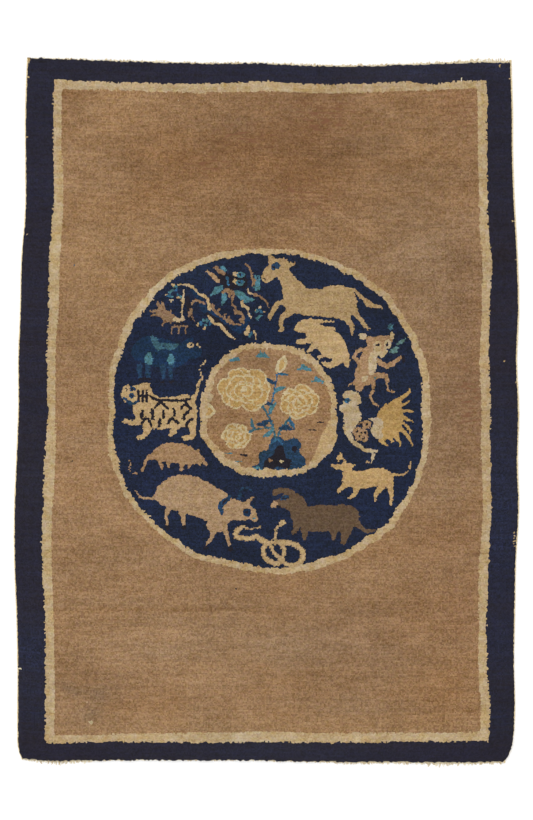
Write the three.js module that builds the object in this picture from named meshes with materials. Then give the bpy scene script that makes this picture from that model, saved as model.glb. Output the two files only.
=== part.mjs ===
// A knotted wool rug lying flat, about 1.3 m by 1.8 m, with its corded side edges
// and the narrow cotton web and cut warp ends left at its two short ends.
// Millimetres. X runs across the rug, Y along its warps towards the top end, Z up from the floor.
import * as THREE from 'three';

// Cloth thickness
const backThickness = 2.6;      // woven cotton warps and wefts
const pileHeight = 5.2;         // clipped wool above them
const rimPileHeight = 3.4;      // the pile rounds down to this at the rug's edge
const shoulderWidth = 5;        // over this distance from the edge
const shoulderLines = [1.8, 5]; // where the rounded rim has its lines
const cornerLines = [15, 28];   // and the worn lower corners theirs
const unevenness = 0.45;        // slow rise and fall of the worn pile
const longWave = { across: 170, up: 230, phase: 0.8 };
const slantWave = { across: 95, up: 140, share: 0.6 };

// Side cords, ends and the seams between the pieces
const gap = 0.3;
const cordWidth = 4.6;
const cordHeight = 5.2;
const cordWobble = 0.7;         // its width and height vary by this much
const webThickness = 1.8;
const locksPerEnd = 140;
const lockRootShare = 0.62;     // of the spacing between locks
const lockTipShare = 0.24;
const shortestLock = 1.6;
const lockSpread = 4.2;         // the longest common lock is this much longer
const lockCrowding = 2.2;       // a higher power leaves more of them short
const lockLean = 1.6;
const tuftShareShortest = 0.4;  // of a tuft's extra length, on its shortest lock

// Each use of the repeatable scatter has its own number
const salts = { leftCord: 21, rightCord: 33, lean: 3, cut: 4, length: 5, tuft: 9 };

// Grid of the pile's top
const columns = 30;
const rows = 42;

// Round of a side cord: shares of its width outwards from the cloth, and of its height
const cordSection = [
  { out: 0, high: 0 },
  { out: 0, high: 0.84 },
  { out: 0.3, high: 1 },
  { out: 0.66, high: 0.97 },
  { out: 0.93, high: 0.72 },
  { out: 1, high: 0.38 },
  { out: 0.86, high: 0.09 },
  { out: 0.6, high: 0 },
];

// Edges of the knotted area at heights up the rug, measured from its middle
const sides = [
  { up: -896, left: -616, right: 602 },
  { up: -882, left: -627, right: 615 },
  { up: -864, left: -633, right: 622 },
  { up: -840, left: -636, right: 629 },
  { up: -762, left: -636, right: 634 },
  { up: -635, left: -636, right: 631 },
  { up: -507, left: -639, right: 634 },
  { up: -380, left: -644, right: 636 },
  { up: -252, left: -644, right: 644 },
  { up: -125, left: -639, right: 641 },
  { up: 0, left: -634, right: 644 },
  { up: 130, left: -634, right: 639 },
  { up: 257, left: -629, right: 644 },
  { up: 385, left: -626, right: 641 },
  { up: 513, left: -616, right: 634 },
  { up: 640, left: -616, right: 629 },
  { up: 770, left: -616, right: 628 },
  { up: 896, left: -611, right: 624 },
];

// The two ends at distances across the rug: where the pile stops, and how far the web reaches past it
const ends = [
  { across: -640, top: 897, topWeb: 3.2, bottom: -882, bottomWeb: 3.6 },
  { across: -552, top: 896, topWeb: 3.6, bottom: -889, bottomWeb: 4.6 },
  { across: -425, top: 890, topWeb: 6.4, bottom: -887, bottomWeb: 4.0 },
  { across: -297, top: 887, topWeb: 5.6, bottom: -886, bottomWeb: 3.4 },
  { across: -170, top: 883, topWeb: 6.2, bottom: -887, bottomWeb: 3.2 },
  { across: -42, top: 884, topWeb: 5.6, bottom: -887, bottomWeb: 3.2 },
  { across: 85, top: 878, topWeb: 6.6, bottom: -890, bottomWeb: 3.8 },
  { across: 213, top: 877, topWeb: 5.8, bottom: -892, bottomWeb: 4.4 },
  { across: 340, top: 880, topWeb: 6.4, bottom: -892, bottomWeb: 4.6 },
  { across: 468, top: 885, topWeb: 6.6, bottom: -894, bottomWeb: 5.4 },
  { across: 545, top: 887, topWeb: 8.4, bottom: -893, bottomWeb: 5.8 },
  { across: 640, top: 885, topWeb: 9.0, bottom: -890, bottomWeb: 5.4 },
];

// Tufts of longer loose warp ends, by place across the rug
const longTufts = [
  { end: 'top', across: -590, reach: 90, extra: 2.6 },
  { end: 'top', across: 520, reach: 80, extra: 2.2 },
  { end: 'bottom', across: -505, reach: 70, extra: 5.2 },
  { end: 'bottom', across: 300, reach: 50, extra: 2.4 },
  { end: 'bottom', across: 420, reach: 60, extra: 3.2 },
];

const materials = {
  pile: new THREE.MeshStandardMaterial({ color: '#92704f', roughness: 0.95, metalness: 0 }),
  cotton: new THREE.MeshStandardMaterial({ color: '#d3bd97', roughness: 0.95, metalness: 0 }),
};

// A smooth curve through one column of a table
function curveThrough(table, key, column) {
  const places = table.map((row) => row[key]);
  const values = table.map((row) => row[column]);
  const last = places.length - 1;
  const slope = (i) => {
    const before = Math.max(i - 1, 0);
    const after = Math.min(i + 1, last);
    return (values[after] - values[before]) / (places[after] - places[before]);
  };
  return (at) => {
    const inside = Math.min(Math.max(at, places[0]), places[last]);
    let i = 0;
    while (i < last - 1 && inside > places[i + 1]) i += 1;
    const span = places[i + 1] - places[i];
    const t = (inside - places[i]) / span;
    const rise = values[i] * (1 + 2 * t) * (1 - t) ** 2 + values[i + 1] * t * t * (3 - 2 * t);
    return rise + span * (slope(i) * t * (1 - t) ** 2 - slope(i + 1) * t * t * (1 - t));
  };
}

const leftEdge = curveThrough(sides, 'up', 'left');
const rightEdge = curveThrough(sides, 'up', 'right');
const topEdge = curveThrough(ends, 'across', 'top');
const bottomEdge = curveThrough(ends, 'across', 'bottom');
const topWeb = curveThrough(ends, 'across', 'topWeb');
const bottomWeb = curveThrough(ends, 'across', 'bottomWeb');
const foot = sides[0];
const clothWidth = foot.right - foot.left;
const clothLength = sides[sides.length - 1].up - foot.up;

// A repeatable number from 0 to 1 for a whole number
function scatter(n, salt) {
  const mixed = Math.sin(n * 12.9898 + salt * 78.233) * 43758.5453;
  return mixed - Math.floor(mixed);
}

// The knotted area's inner edge beside the side cord, at a height up the rug
const clothLeft = (up) => leftEdge(up) + cordWidth + gap;
const clothRight = (up) => rightEdge(up) - cordWidth - gap;

// A place on the cloth from its share of the width and length
function placeOnCloth(u, v) {
  const across = THREE.MathUtils.lerp(foot.left, foot.right, u);
  const up = THREE.MathUtils.lerp(bottomEdge(across), topEdge(across), v);
  return { x: THREE.MathUtils.lerp(clothLeft(up), clothRight(up), u), y: up };
}

function pileTop(x, y, fromEdge) {
  const along = Math.sin(x / longWave.across + longWave.phase) * Math.cos(y / longWave.up);
  const slanted = slantWave.share * Math.sin(x / slantWave.across - y / slantWave.up);
  const shoulder = Math.min(fromEdge / shoulderWidth, 1);
  const rounded = Math.sqrt(1 - (1 - shoulder) ** 2);
  const pile = THREE.MathUtils.lerp(rimPileHeight, pileHeight, rounded);
  return backThickness + pile + unevenness * (along + slanted) * shoulder;
}

// Shares of the way along a side: even steps, with extra lines near both ends
function sharesAlong(count, length, distancesFromEnd) {
  const extra = distancesFromEnd.map((distance) => distance / length);
  const inner = Array.from({ length: count - 1 }, (_, i) => (i + 1) / count);
  return [0, ...extra, ...inner, ...extra.map((share) => 1 - share).reverse(), 1];
}

const acrossShares = sharesAlong(columns, clothWidth, shoulderLines);
const upShares = sharesAlong(rows, clothLength, [...shoulderLines, ...cornerLines]);

// The knotted area's four straight-sided edge lines, which its neighbours follow
const leftLine = upShares.map((v) => placeOnCloth(0, v));
const rightLine = upShares.map((v) => placeOnCloth(1, v));
const bottomLine = acrossShares.map((u) => placeOnCloth(u, 0));
const topLine = acrossShares.map((u) => placeOnCloth(u, 1));

// The height of such a line at a distance across the rug
function heightOn(line, x) {
  let i = 0;
  while (i < line.length - 2 && x > line[i + 1].x) i += 1;
  const t = (x - line[i].x) / (line[i + 1].x - line[i].x);
  return THREE.MathUtils.lerp(line[i].y, line[i + 1].y, t);
}

function meshFrom(name, points, faces, material) {
  const geometry = new THREE.BufferGeometry();
  geometry.setAttribute('position', new THREE.Float32BufferAttribute(points.flat(), 3));
  geometry.setIndex(faces.flat());
  geometry.computeVertexNormals();
  const mesh = new THREE.Mesh(geometry, material);
  mesh.name = name;
  return mesh;
}

// The knotted cloth: an uneven pile top, its rounded rim and a flat woven back on the floor
function knottedCloth() {
  const width = acrossShares.length;
  const points = [];
  for (const v of upShares) {
    for (const u of acrossShares) {
      const { x, y } = placeOnCloth(u, v);
      const fromSide = Math.min(u, 1 - u) * clothWidth;
      const fromEnd = Math.min(v, 1 - v) * clothLength;
      points.push([x, y, pileTop(x, y, Math.min(fromSide, fromEnd))]);
    }
  }
  const at = (i, j) => j * width + i;
  const faces = [];
  for (let j = 0; j < upShares.length - 1; j += 1) {
    for (let i = 0; i < width - 1; i += 1) {
      faces.push([at(i, j), at(i + 1, j), at(i + 1, j + 1)]);
      faces.push([at(i, j), at(i + 1, j + 1), at(i, j + 1)]);
    }
  }
  const rim = [];
  for (let i = 0; i < width - 1; i += 1) rim.push(at(i, 0));
  for (let j = 0; j < upShares.length - 1; j += 1) rim.push(at(width - 1, j));
  for (let i = width - 1; i > 0; i -= 1) rim.push(at(i, upShares.length - 1));
  for (let j = upShares.length - 1; j > 0; j -= 1) rim.push(at(0, j));
  const firstBelow = points.length;
  for (const n of rim) points.push([points[n][0], points[n][1], 0]);
  rim.forEach((n, k) => {
    const next = (k + 1) % rim.length;
    faces.push([firstBelow + k, firstBelow + next, rim[next]]);
    faces.push([firstBelow + k, rim[next], n]);
  });
  const outline = rim.map((n) => new THREE.Vector2(points[n][0], points[n][1]));
  for (const [a, b, c] of THREE.ShapeUtils.triangulateShape(outline, [])) {
    faces.push([firstBelow + c, firstBelow + b, firstBelow + a]);
  }
  return meshFrom('knotted_cloth', points, faces, materials.pile);
}

// One side cord: the outer warps, wrapped into a slim uneven roll that lies on the floor
function sideCord(name, line, outwards, salt) {
  const first = line[0];
  const last = line[line.length - 1];
  const path = [
    { x: first.x, y: first.y - gap - bottomWeb(first.x) },
    ...line,
    { x: last.x, y: last.y + gap + topWeb(last.x) },
  ];
  const points = [];
  const faces = [];
  path.forEach((place, k) => {
    const width = cordWidth + cordWobble * (scatter(k, salt) - 0.5);
    const height = cordHeight + cordWobble * (scatter(k, salt + 1) - 0.5);
    for (const corner of cordSection) {
      const x = place.x + outwards * (gap + corner.out * width);
      points.push([x, place.y, corner.high * height]);
    }
  });
  const corners = cordSection.length;
  const wind = (a, b, c) => (outwards > 0 ? [a, c, b] : [a, b, c]);
  for (let k = 0; k < path.length - 1; k += 1) {
    for (let s = 0; s < corners; s += 1) {
      const next = (s + 1) % corners;
      const [a, b] = [k * corners + s, k * corners + next];
      faces.push(wind(a, a + corners, b + corners));
      faces.push(wind(a, b + corners, b));
    }
  }
  const lastRing = (path.length - 1) * corners;
  for (let s = 1; s < corners - 1; s += 1) {
    faces.push(wind(0, s, s + 1));
    faces.push(wind(lastRing, lastRing + s + 1, lastRing + s));
  }
  return meshFrom(name, points, faces, materials.cotton);
}

function lockLength(end, across, n) {
  let length = shortestLock + lockSpread * scatter(n, salts.length) ** lockCrowding;
  for (const tuft of longTufts.filter((row) => row.end === end)) {
    const near = Math.max(0, 1 - Math.abs(across - tuft.across) / tuft.reach);
    length += tuft.extra * near * (tuftShareShortest + scatter(n, salts.tuft));
  }
  return length;
}

// One end: the cotton web past the last row of knots, with the cut warp ends standing out of it
function warpEnd(name, end, line, web, outwards) {
  const first = line[0].x;
  const last = line[line.length - 1].x;
  const spacing = (last - first) / locksPerEnd;
  const root = (lockRootShare * spacing) / 2;
  const tip = (lockTipShare * spacing) / 2;
  const webEdge = (x) => heightOn(line, x) + outwards * (gap + web(x));
  const outer = [[first, webEdge(first)]];
  for (let k = 0; k < locksPerEnd; k += 1) {
    const across = first + (k + 0.5) * spacing;
    const lean = lockLean * (scatter(k, salts.lean) * 2 - 1);
    const tipHeight = webEdge(across) + outwards * lockLength(end, across, k);
    outer.push([across - root, webEdge(across - root)]);
    outer.push([across + lean - tip, tipHeight]);
    outer.push([across + lean + tip, tipHeight - outwards * scatter(k, salts.cut)]);
    outer.push([across + root, webEdge(across + root)]);
  }
  outer.push([last, webEdge(last)]);
  const inner = line.map(({ x, y }) => [x, y + outwards * gap]).reverse();
  const outline = [...outer, ...inner].map(([x, y]) => new THREE.Vector2(x, y));
  const geometry = new THREE.ExtrudeGeometry(new THREE.Shape(outline), {
    depth: webThickness,
    bevelEnabled: false,
    curveSegments: 1,
  });
  const mesh = new THREE.Mesh(geometry, materials.cotton);
  mesh.name = name;
  return mesh;
}

const rug = new THREE.Group();
rug.add(knottedCloth());
rug.add(sideCord('side_cord_left', leftLine, -1, salts.leftCord));
rug.add(sideCord('side_cord_right', rightLine, 1, salts.rightCord));
rug.add(warpEnd('warp_end_top', 'top', topLine, topWeb, 1));
rug.add(warpEnd('warp_end_bottom', 'bottom', bottomLine, bottomWeb, -1));

// The origin is on the floor under the middle of the rug's box
const box = new THREE.Box3().setFromObject(rug);
const middle = box.getCenter(new THREE.Vector3());
rug.position.set(-middle.x, -middle.y, 0);
rug.updateMatrixWorld(true);

export default rug;
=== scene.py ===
# A hand-knotted wool rug lying flat: camel field, indigo border, and a ring of twelve animals.
# Metres in Blender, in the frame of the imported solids: X across the rug, Y towards its top end, Z up.
# Settings are in millimetres, in knots, or in units of the medallion's drawing, as each says.
import math

import bpy
import numpy as np
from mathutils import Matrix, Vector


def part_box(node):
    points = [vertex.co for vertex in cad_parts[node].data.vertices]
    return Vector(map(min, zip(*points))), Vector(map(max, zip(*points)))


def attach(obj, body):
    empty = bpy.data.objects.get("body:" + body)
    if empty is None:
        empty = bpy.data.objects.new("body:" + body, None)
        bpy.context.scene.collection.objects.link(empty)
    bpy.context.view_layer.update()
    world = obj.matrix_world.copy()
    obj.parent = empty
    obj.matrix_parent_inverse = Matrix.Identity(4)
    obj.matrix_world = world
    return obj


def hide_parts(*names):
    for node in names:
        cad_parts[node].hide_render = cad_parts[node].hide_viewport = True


print("loading the solids")
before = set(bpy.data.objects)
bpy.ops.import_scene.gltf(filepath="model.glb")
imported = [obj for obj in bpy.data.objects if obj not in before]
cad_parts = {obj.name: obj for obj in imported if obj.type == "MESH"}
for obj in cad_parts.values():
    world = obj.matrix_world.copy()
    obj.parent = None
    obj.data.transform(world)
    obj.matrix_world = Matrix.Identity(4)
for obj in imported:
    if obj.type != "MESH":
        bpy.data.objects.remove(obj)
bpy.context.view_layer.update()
mm = 0.001
random = np.random.default_rng(11)

cloth = {
    "back": 2.6,              # woven cotton foundation
    "pile": 5.2,              # clipped wool above it
    "rimPile": 3.4,           # the pile rounds down to this at the edge
    "shoulder": 5,            # over this distance
    "unevenness": 0.45,       # slow rise and fall, as in the solid
    "longWave": (170, 230, 0.8),
    "slantWave": (95, 140, 0.6),
    "lumps": ((5, 0.16), (12, 0.2)),   # worn pile: size in knots, height
    "tufts": 0.14,            # one clump of tufts above the next
    "stray": 0.55,            # tufts stand this far out of the grid
    "frayed": 1.5,            # and this far where two wools meet
    # Tufts at the rim lean out unevenly, from one to the next and over three or so: at the sides, at the ends
    "teeth": ((0.8, 0.9), (1.2, 2.6)),
    "seam": 0.05,             # between the pile's underside and the foundation
    # How far the rim's tufts lean out over the cords and the web: share of the side's length, distance
    "left": ((0, 1.8), (0.08, 1.3), (0.4, 1.9), (0.55, 1.6), (0.68, 2.3), (0.8, 1.8), (0.9, 1.4), (1, 1)),
    "right": ((0, 4.2), (0.04, 3.4), (0.07, 1.9), (0.11, 3), (0.16, 2.9), (0.21, 1.6), (0.27, 2.3),
              (0.34, 2.2),
              (0.4, 1.1), (0.6, 0.8), (1, 0.6)),
    "bottom": ((0, 1), (0.1, 1), (0.15, 2.9), (0.36, 2.7), (0.4, 1.7), (0.5, 2.5), (0.6, 2.3),
               (0.64, 1.3), (1, 1)),
    "top": ((0, 1.6), (0.2, 1.3), (0.8, 1.1), (1, 0.9)),
}

chart = {
    "knot": 3.4,              # millimetres, across and up
    "wobble": 0.6,            # knots that a weaver's line wanders
    "rowShift": 0.6,          # knots that one row may lie out of line in a curve
    # The indigo border and the cream guard stripe: share of the side's length, then knots of each
    "left": ((0, 19.6, 6.6), (0.2, 20.1, 7), (0.31, 19.7, 7.1), (0.37, 20.5, 7.2), (0.43, 20, 7.8),
             (0.48, 21, 6.4),
             (0.6, 20.5, 6.4), (0.66, 20.2, 8), (0.77, 19.5, 8.3), (0.83, 20.4, 6.9), (0.9, 19.8, 6.2)),
    "right": ((0, 18.2, 6.5), (0.08, 17.6, 6.9), (0.14, 19.1, 6.7), (0.2, 20.1, 5.8), (0.25, 19.6, 6.8),
              (0.37, 19.3, 6.4), (0.42, 19.2, 6.6), (0.48, 20.5, 6.8),
              (0.54, 19.5, 7.6), (0.66, 20.9, 6.1), (0.71, 18.5, 7), (0.77, 19.6, 6.6), (0.83, 18.7, 6.7),
              (0.94, 17.9, 7.1)),
    "bottom": ((0.11, 13.1, 5.4), (0.3, 12.6, 6.9), (0.42, 12.5, 7.5), (0.54, 13.4, 7.8), (0.66, 14, 7.3),
               (0.8, 14.6, 6.7), (0.91, 15.2, 7)),
    "top": ((0.1, 15.3, 6.9), (0.16, 15.2, 6), (0.28, 15.5, 6), (0.41, 14.6, 6.6), (0.47, 12.9, 7.6),
            (0.62, 13.5, 6.2), (0.78, 11.9, 7.3), (0.84, 14.8, 4.7), (0.9, 13.1, 5.9)),
}

# Wool colours, and how far each stands above the pile or is worn below it
dyes = {
    "camel": ("#8d6d4d", 0.0), "indigo": ("#25232e", 0.05), "ringBlue": ("#1c2336", 0.05),
    "cream": ("#ac946f", 0.25), "sand": ("#9e845e", 0.15), "tan": ("#9c7f5f", 0.1),
    "honey": ("#ac9168", 0.2), "amber": ("#ad8e60", 0.2), "ivory": ("#aa9675", 0.25), "pale": ("#b5a37e", 0.25),
    "gold": ("#a58552", 0.1), "olive": ("#5c4937", -0.4), "fawn": ("#967757", -0.1), "russet": ("#80654b", -0.1),
    "sage": ("#536e68", 0.0), "teal": ("#466e77", 0.0), "deepTeal": ("#375661", 0.0), "blue": ("#2f5670", 0.0), "midBlue": ("#22384f", 0.0),
    "oxBlue": ("#192c44", 0.0), "ink": ("#201d24", -0.7), "bare": ("#cfc3a8", -1.6),
}
dyeNames = list(dyes)
dyeNumber = {name: n for n, name in enumerate(dyeNames)}


def smoothed(points, closed, steps=6):
    p = np.array(points, float)
    if closed:
        p = np.vstack([p[-1:], p, p[:2]])
    else:
        p = np.vstack([2 * p[:1] - p[1:2], p, 2 * p[-1:] - p[-2:-1]])
    t = np.linspace(0, 1, steps, endpoint=False)[:, None]
    a, b, c, d = p[:-3, None], p[1:-2, None], p[2:-1, None], p[3:, None]
    curve = 0.5 * (2 * b + (c - a) * t + (2 * a - 5 * b + 4 * c - d) * t**2 + (3 * b - 3 * c + d - a) * t**3)
    curve = curve.reshape(-1, p.shape[1])
    return curve if closed else np.vstack([curve, p[-2:-1]])


class Chart:
    def __init__(self, x, y):
        self.x = x
        self.y = y
        self.dye = np.full(x.shape, dyeNumber["camel"], np.int8)
        self.spans = [(values.min(1 - axis), values.max(1 - axis)) for axis, values in ((0, y), (1, x))]

    def window(self, lowX, lowY, highX, highY):
        cuts = []
        for (low, high), least, most in zip(self.spans, (lowY, lowX), (highY, highX)):
            near = np.nonzero((high >= least) & (low <= most))[0]
            cuts.append(slice(near[0], near[-1] + 1) if len(near) else slice(0, 0))
        return tuple(cuts)

    def fill(self, dye, inside, part=np.s_[:, :]):
        self.dye[part][inside] = dyeNumber[dye]

    # A stroke that tapers through its (across, up, width) points
    def limb(self, dye, *points, smooth=True):
        p = smoothed(points, False) if smooth and len(points) > 2 else np.array(points, float)
        margin = p[:, 2].max() / 2 + 1
        part = self.window(*(p[:, :2].min(0) - margin), *(p[:, :2].max(0) + margin))
        x, y = self.x[part], self.y[part]
        inside = np.zeros(x.shape, bool)
        for (ax, ay, aw), (bx, by, bw) in zip(p[:-1], p[1:]):
            dx, dy = bx - ax, by - ay
            t = np.clip(((x - ax) * dx + (y - ay) * dy) / max(dx * dx + dy * dy, 1e-9), 0, 1)
            inside |= (x - ax - t * dx) ** 2 + (y - ay - t * dy) ** 2 < ((aw + (bw - aw) * t) / 2) ** 2
        self.fill(dye, inside, part)

    def line(self, dye, width, *points, smooth=True):
        self.limb(dye, *[(x, y, width) for x, y in points], smooth=smooth)

    def oval(self, dye, x, y, wide, high, turn=0):
        c, s = math.cos(math.radians(turn)), math.sin(math.radians(turn))
        reach = max(wide, high) / 2
        part = self.window(x - reach, y - reach, x + reach, y + reach)
        awayX, awayY = self.x[part] - x, self.y[part] - y
        along, over = awayX * c + awayY * s, awayY * c - awayX * s
        self.fill(dye, (2 * along / wide) ** 2 + (2 * over / high) ** 2 < 1, part)

    def patch(self, dye, *points, smooth=True):
        p = smoothed(points, True, 5) if smooth else np.array(points, float)
        part = self.window(*p.min(0), *p.max(0))
        x, y = self.x[part], self.y[part]
        inside = np.zeros(x.shape, bool)
        for (ax, ay), (bx, by) in zip(p, np.roll(p, -1, 0)):
            if ay != by:
                inside ^= ((ay > y) != (by > y)) & (x < ax + (y - ay) * (bx - ax) / (by - ay))
        self.fill(dye, inside, part)


def horse(c):
    c.limb("sand", (28, 110, 26), (41, 108, 27), (55, 107, 27), (67, 109, 32), (75, 109, 28), (80, 103, 19))
    c.limb("sand", (16, 147, 10), (16, 138, 13), (21, 128, 16), (28, 116, 24))       # neck
    c.limb("sand", (12, 142, 14), (4, 138, 14), (-1.4, 132, 10))                        # head
    c.limb("sand", (3, 155, 2), (5, 148, 8), (13, 145.6, 11))                        # ear and crown
    c.limb("sand", (19, 144, 7), (28, 146.4, 2))                                     # mane
    c.limb("sand", (22, 107, 7), (12, 107, 5), (7, 101, 5), (2, 92, 3.6))            # front legs
    c.limb("sand", (22, 98, 8), (15, 93, 5), (13.5, 86, 4), (15, 81, 3.4), (12, 80, 2))
    c.limb("sand", (78, 97, 12), (80, 90, 7), (84, 84, 4.4), (84.6, 79, 3.2), (84.6, 75, 1.6))     # hind legs
    c.limb("sand", (85, 101, 10), (89, 95.6, 5.4), (95, 88, 4.4), (99, 82.4, 3.4), (102, 81.4, 2))
    c.limb("sand", (69, 96, 9), (78, 94, 8))
    c.limb("sand", (82, 120, 3), (87, 119.6, 3), (92, 114.6, 3.4), (98, 109.4, 4.4), (102, 105.6, 5.6),
           (107, 104.4, 4), (115, 102.6, 2))
    c.oval("midBlue", 8.2, 143.8, 10, 7, 38)
    c.oval("ink", 6.6, 142.4, 3, 3)
    c.oval("ink", -2.6, 131, 2.8, 3)


def hare(c):
    c.limb("honey", (46, 76, 15), (55, 73, 20), (63, 66, 26), (71, 59, 18), (78, 51, 8),
           (80, 43, 2.4))    # body
    c.limb("honey", (50, 81, 15), (42, 84, 15), (34, 83, 11), (28, 81, 3))           # head
    c.limb("honey", (48, 88, 4.4), (58, 88.6, 2.2), (66, 88.4, 1.8))                 # ears
    c.limb("honey", (55, 83, 5), (66, 81, 4.4))
    c.limb("honey", (46, 72, 8), (37, 68.6, 5), (31, 68, 5.6))                       # front legs
    c.limb("honey", (48, 67, 8), (44, 61, 4), (40, 59, 3))
    c.limb("honey", (63, 57, 7), (58, 55, 3), (52, 53, 4))                           # hind legs
    c.limb("honey", (72, 51, 10), (64, 45, 6), (57, 46, 5))
    c.limb("ringBlue", (52, 85.6, 1.4), (58, 85.2, 2.2), (67, 84.8, 2.4))
    c.limb("sand", (36, 84, 3), (40, 86, 3))


def monkey(c):
    c.limb("fawn", (101, 58, 11), (97, 46, 13), (94, 36, 13), (91.5, 26, 10), (92, 21, 6))     # back
    c.limb("fawn", (101, 61, 5), (91, 59, 4), (87, 54.4, 3.8), (90, 49, 4), (97, 46, 5))     # arm on the hip
    c.limb("fawn", (110, 49, 5), (119, 44, 5), (127, 48, 4.4), (133, 53, 3))         # reaching arm
    c.oval("fawn", 102, 34, 10, 9)
    c.limb("fawn", (106, 33.6, 7), (115, 35, 5), (119, 33, 4), (119.6, 24, 2), (121, 19, 2), (126, 18.4, 2.4))
    c.limb("fawn", (100, 29, 8), (105.6, 29, 4.6), (105.6, 22, 2.6), (103.4, 15, 2.6), (104.6, 9, 2.6),
           (107.6, 6, 2.8), (111, 4.4, 1.8))
    c.limb("fawn", (90, 29, 3), (86, 27.6, 2.2), (80.6, 24.4, 1.4))                        # tail
    c.limb("fawn", (101, 71, 6), (106, 67, 12), (113, 69, 11), (121, 70.6, 7.6))      # crown
    for x, y, wide, high in ((95, 73.6, 7.6, 6.6), (124.6, 74.4, 4.4, 7), (110, 65, 8, 8), (120, 66, 7, 10),
                             (113, 59, 14, 10), (115, 54.6, 6, 5)):
        c.oval("ivory", x, y, wide, high)                                            # ears, eyes, muzzle
    c.limb("fawn", (115.4, 66, 2.6), (115, 60, 3.4))
    c.oval("ink", 110.4, 65, 4, 2.6)
    c.oval("ink", 119.6, 65.4, 3.4, 3.6)
    c.oval("ivory", 105, 47, 8.6, 25, -6)                                              # belly
    c.oval("ivory", 97, 31.5, 8.6, 5, 40)
    c.oval("teal", 107.6, 32.6, 2.6, 2.6)
    c.limb("sage", (122.6, 58, 2.4), (126.6, 59.6, 5.4), (129.6, 62.6, 3))           # leaves of a fruit
    c.limb("sage", (130.4, 66.4, 2.4), (134, 68.6, 4), (137.4, 71, 1.6))
    c.oval("ink", 136, 51, 3.6, 7)
    c.oval("deepTeal", 123, 83, 6.4, 6)
    c.oval("teal", 124.6, 84, 2.6, 2.4)


def rooster(c):
    c.limb("ivory", (81, 14.4, 10), (87, 13.4, 10), (91, 8.6, 6))                    # head
    c.limb("ivory", (74, 2.6, 4.6), (79, 0.4, 10), (83, 3, 12))                      # wattle
    c.limb("ivory", (83, 8, 13), (83, 2, 15), (85, -5, 17), (82.4, -14, 12), (80.6, -21, 8), (82.6, -27, 5))
    c.limb("ivory", (88, -4, 8), (91, -8, 6))
    c.limb("ivory", (82, -26, 5), (86, -32, 4.6), (92, -36, 4.4), (98, -40, 3.6), (105, -41, 4))     # leg
    c.limb("ivory", (105.4, -41, 3.4), (105.6, -47, 3), (104, -52, 2))
    c.line("ivory", 1.8, (105, -41), (110.6, -41))
    c.line("sand", 1.7, (99, -51.4), (102, -52))
    for x, y, wide, high in ((99, -14.4, 8.6, 9), (93.6, -13.6, 4.4, 4.4), (90.4, -21.4, 10, 9),
                             (96, -22.4, 8.6, 8.6), (92.2, -27.2, 9, 8), (97.4, -28, 6.6, 7)):
        c.oval("fawn", x, y, wide, high)                                             # barred wing
    for x, y in ((99, -14.6), (93.6, -14.4), (89.8, -21.6), (94.4, -22.4), (98, -22), (91.4, -27),
                  (96.6, -27.4)):
        c.oval("ink", x, y, 2.6, 2.8)
    c.oval("gold", 121.6, -12, 26, 34)                                               # fan of the tail
    for route in (((123, 0, 10), (129, 8, 8), (135, 13, 4), (140, 16, 3), (143, 21, 1.4)), ((128, 1, 8),
                  (134, 5, 3.6), (142, 8.6, 1.6)),
                  ((128, -2, 8), (138, -0.6, 3), (147, -1, 1.4)), ((130, -6, 8), (138, -8.4, 4),
                  (145.6, -12, 1.4)),
                  ((130, -10, 6), (137, -14, 2.4), (141, -17.6, 2.6), (143.6, -22, 2.2)), ((127, -17, 9),
                  (134, -19.6, 5), (138, -23.4, 4),
                  (142.6, -30, 2.6), (144.4, -35.6, 1.6)), ((124, -20, 11), (130, -28, 4),
                  (132.4, -35.6, 1.6)),
                  ((121, -22, 10), (124, -31, 3)), ((117, -23, 11), (114, -31, 5), (120, -35.4, 1.6)),
                  ((117.4, -2, 7), (118.6, 6.4, 2))):
        c.limb("gold", *route)
    c.limb("ivory", (102, -8.4, 1.6), (107, -10, 4), (111, -13.4, 10), (109, -20, 11), (111, -25, 8))
    c.oval("blue", 80.2, 9.8, 6, 5.4)
    c.oval("ink", 80.4, 9.6, 2.6, 2.4)


def dog(c):
    c.limb("amber", (83, -69, 16), (95, -69.4, 17), (109, -67, 18), (118, -67, 14), (122, -72, 8))     # body
    c.limb("amber", (79, -58, 9), (81, -65, 12))                                     # neck
    c.limb("amber", (78, -56, 8), (70, -57, 5), (64.4, -55, 2.6))                    # head
    c.limb("amber", (72.6, -43, 1.6), (73, -50, 7), (77, -54, 6))                    # ears
    c.limb("amber", (81, -56, 6), (87, -55, 2))
    c.limb("amber", (80, -72, 9), (76, -76.4, 5), (70, -81.6, 3))                    # front legs
    c.limb("amber", (90, -75, 8), (88.6, -81, 5), (86.6, -84.6, 4), (82.4, -87.6, 3))
    c.limb("amber", (116, -73, 9), (112, -79, 6), (108, -86, 3.4), (108, -91, 1.8))  # hind legs
    c.limb("amber", (122, -74, 8), (123.6, -82, 5), (123.4, -94.6, 2.2))
    c.limb("amber", (122, -64, 3), (132.6, -65, 2.2), (137, -63.4, 1.8), (140, -62, 1.8))  # tail
    c.limb("amber", (142, -57.6, 2.8), (143.4, -52.6, 1.6))
    c.limb("ringBlue", (71.4, -52.4, 3.4), (74.4, -51.4, 4.4))


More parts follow.
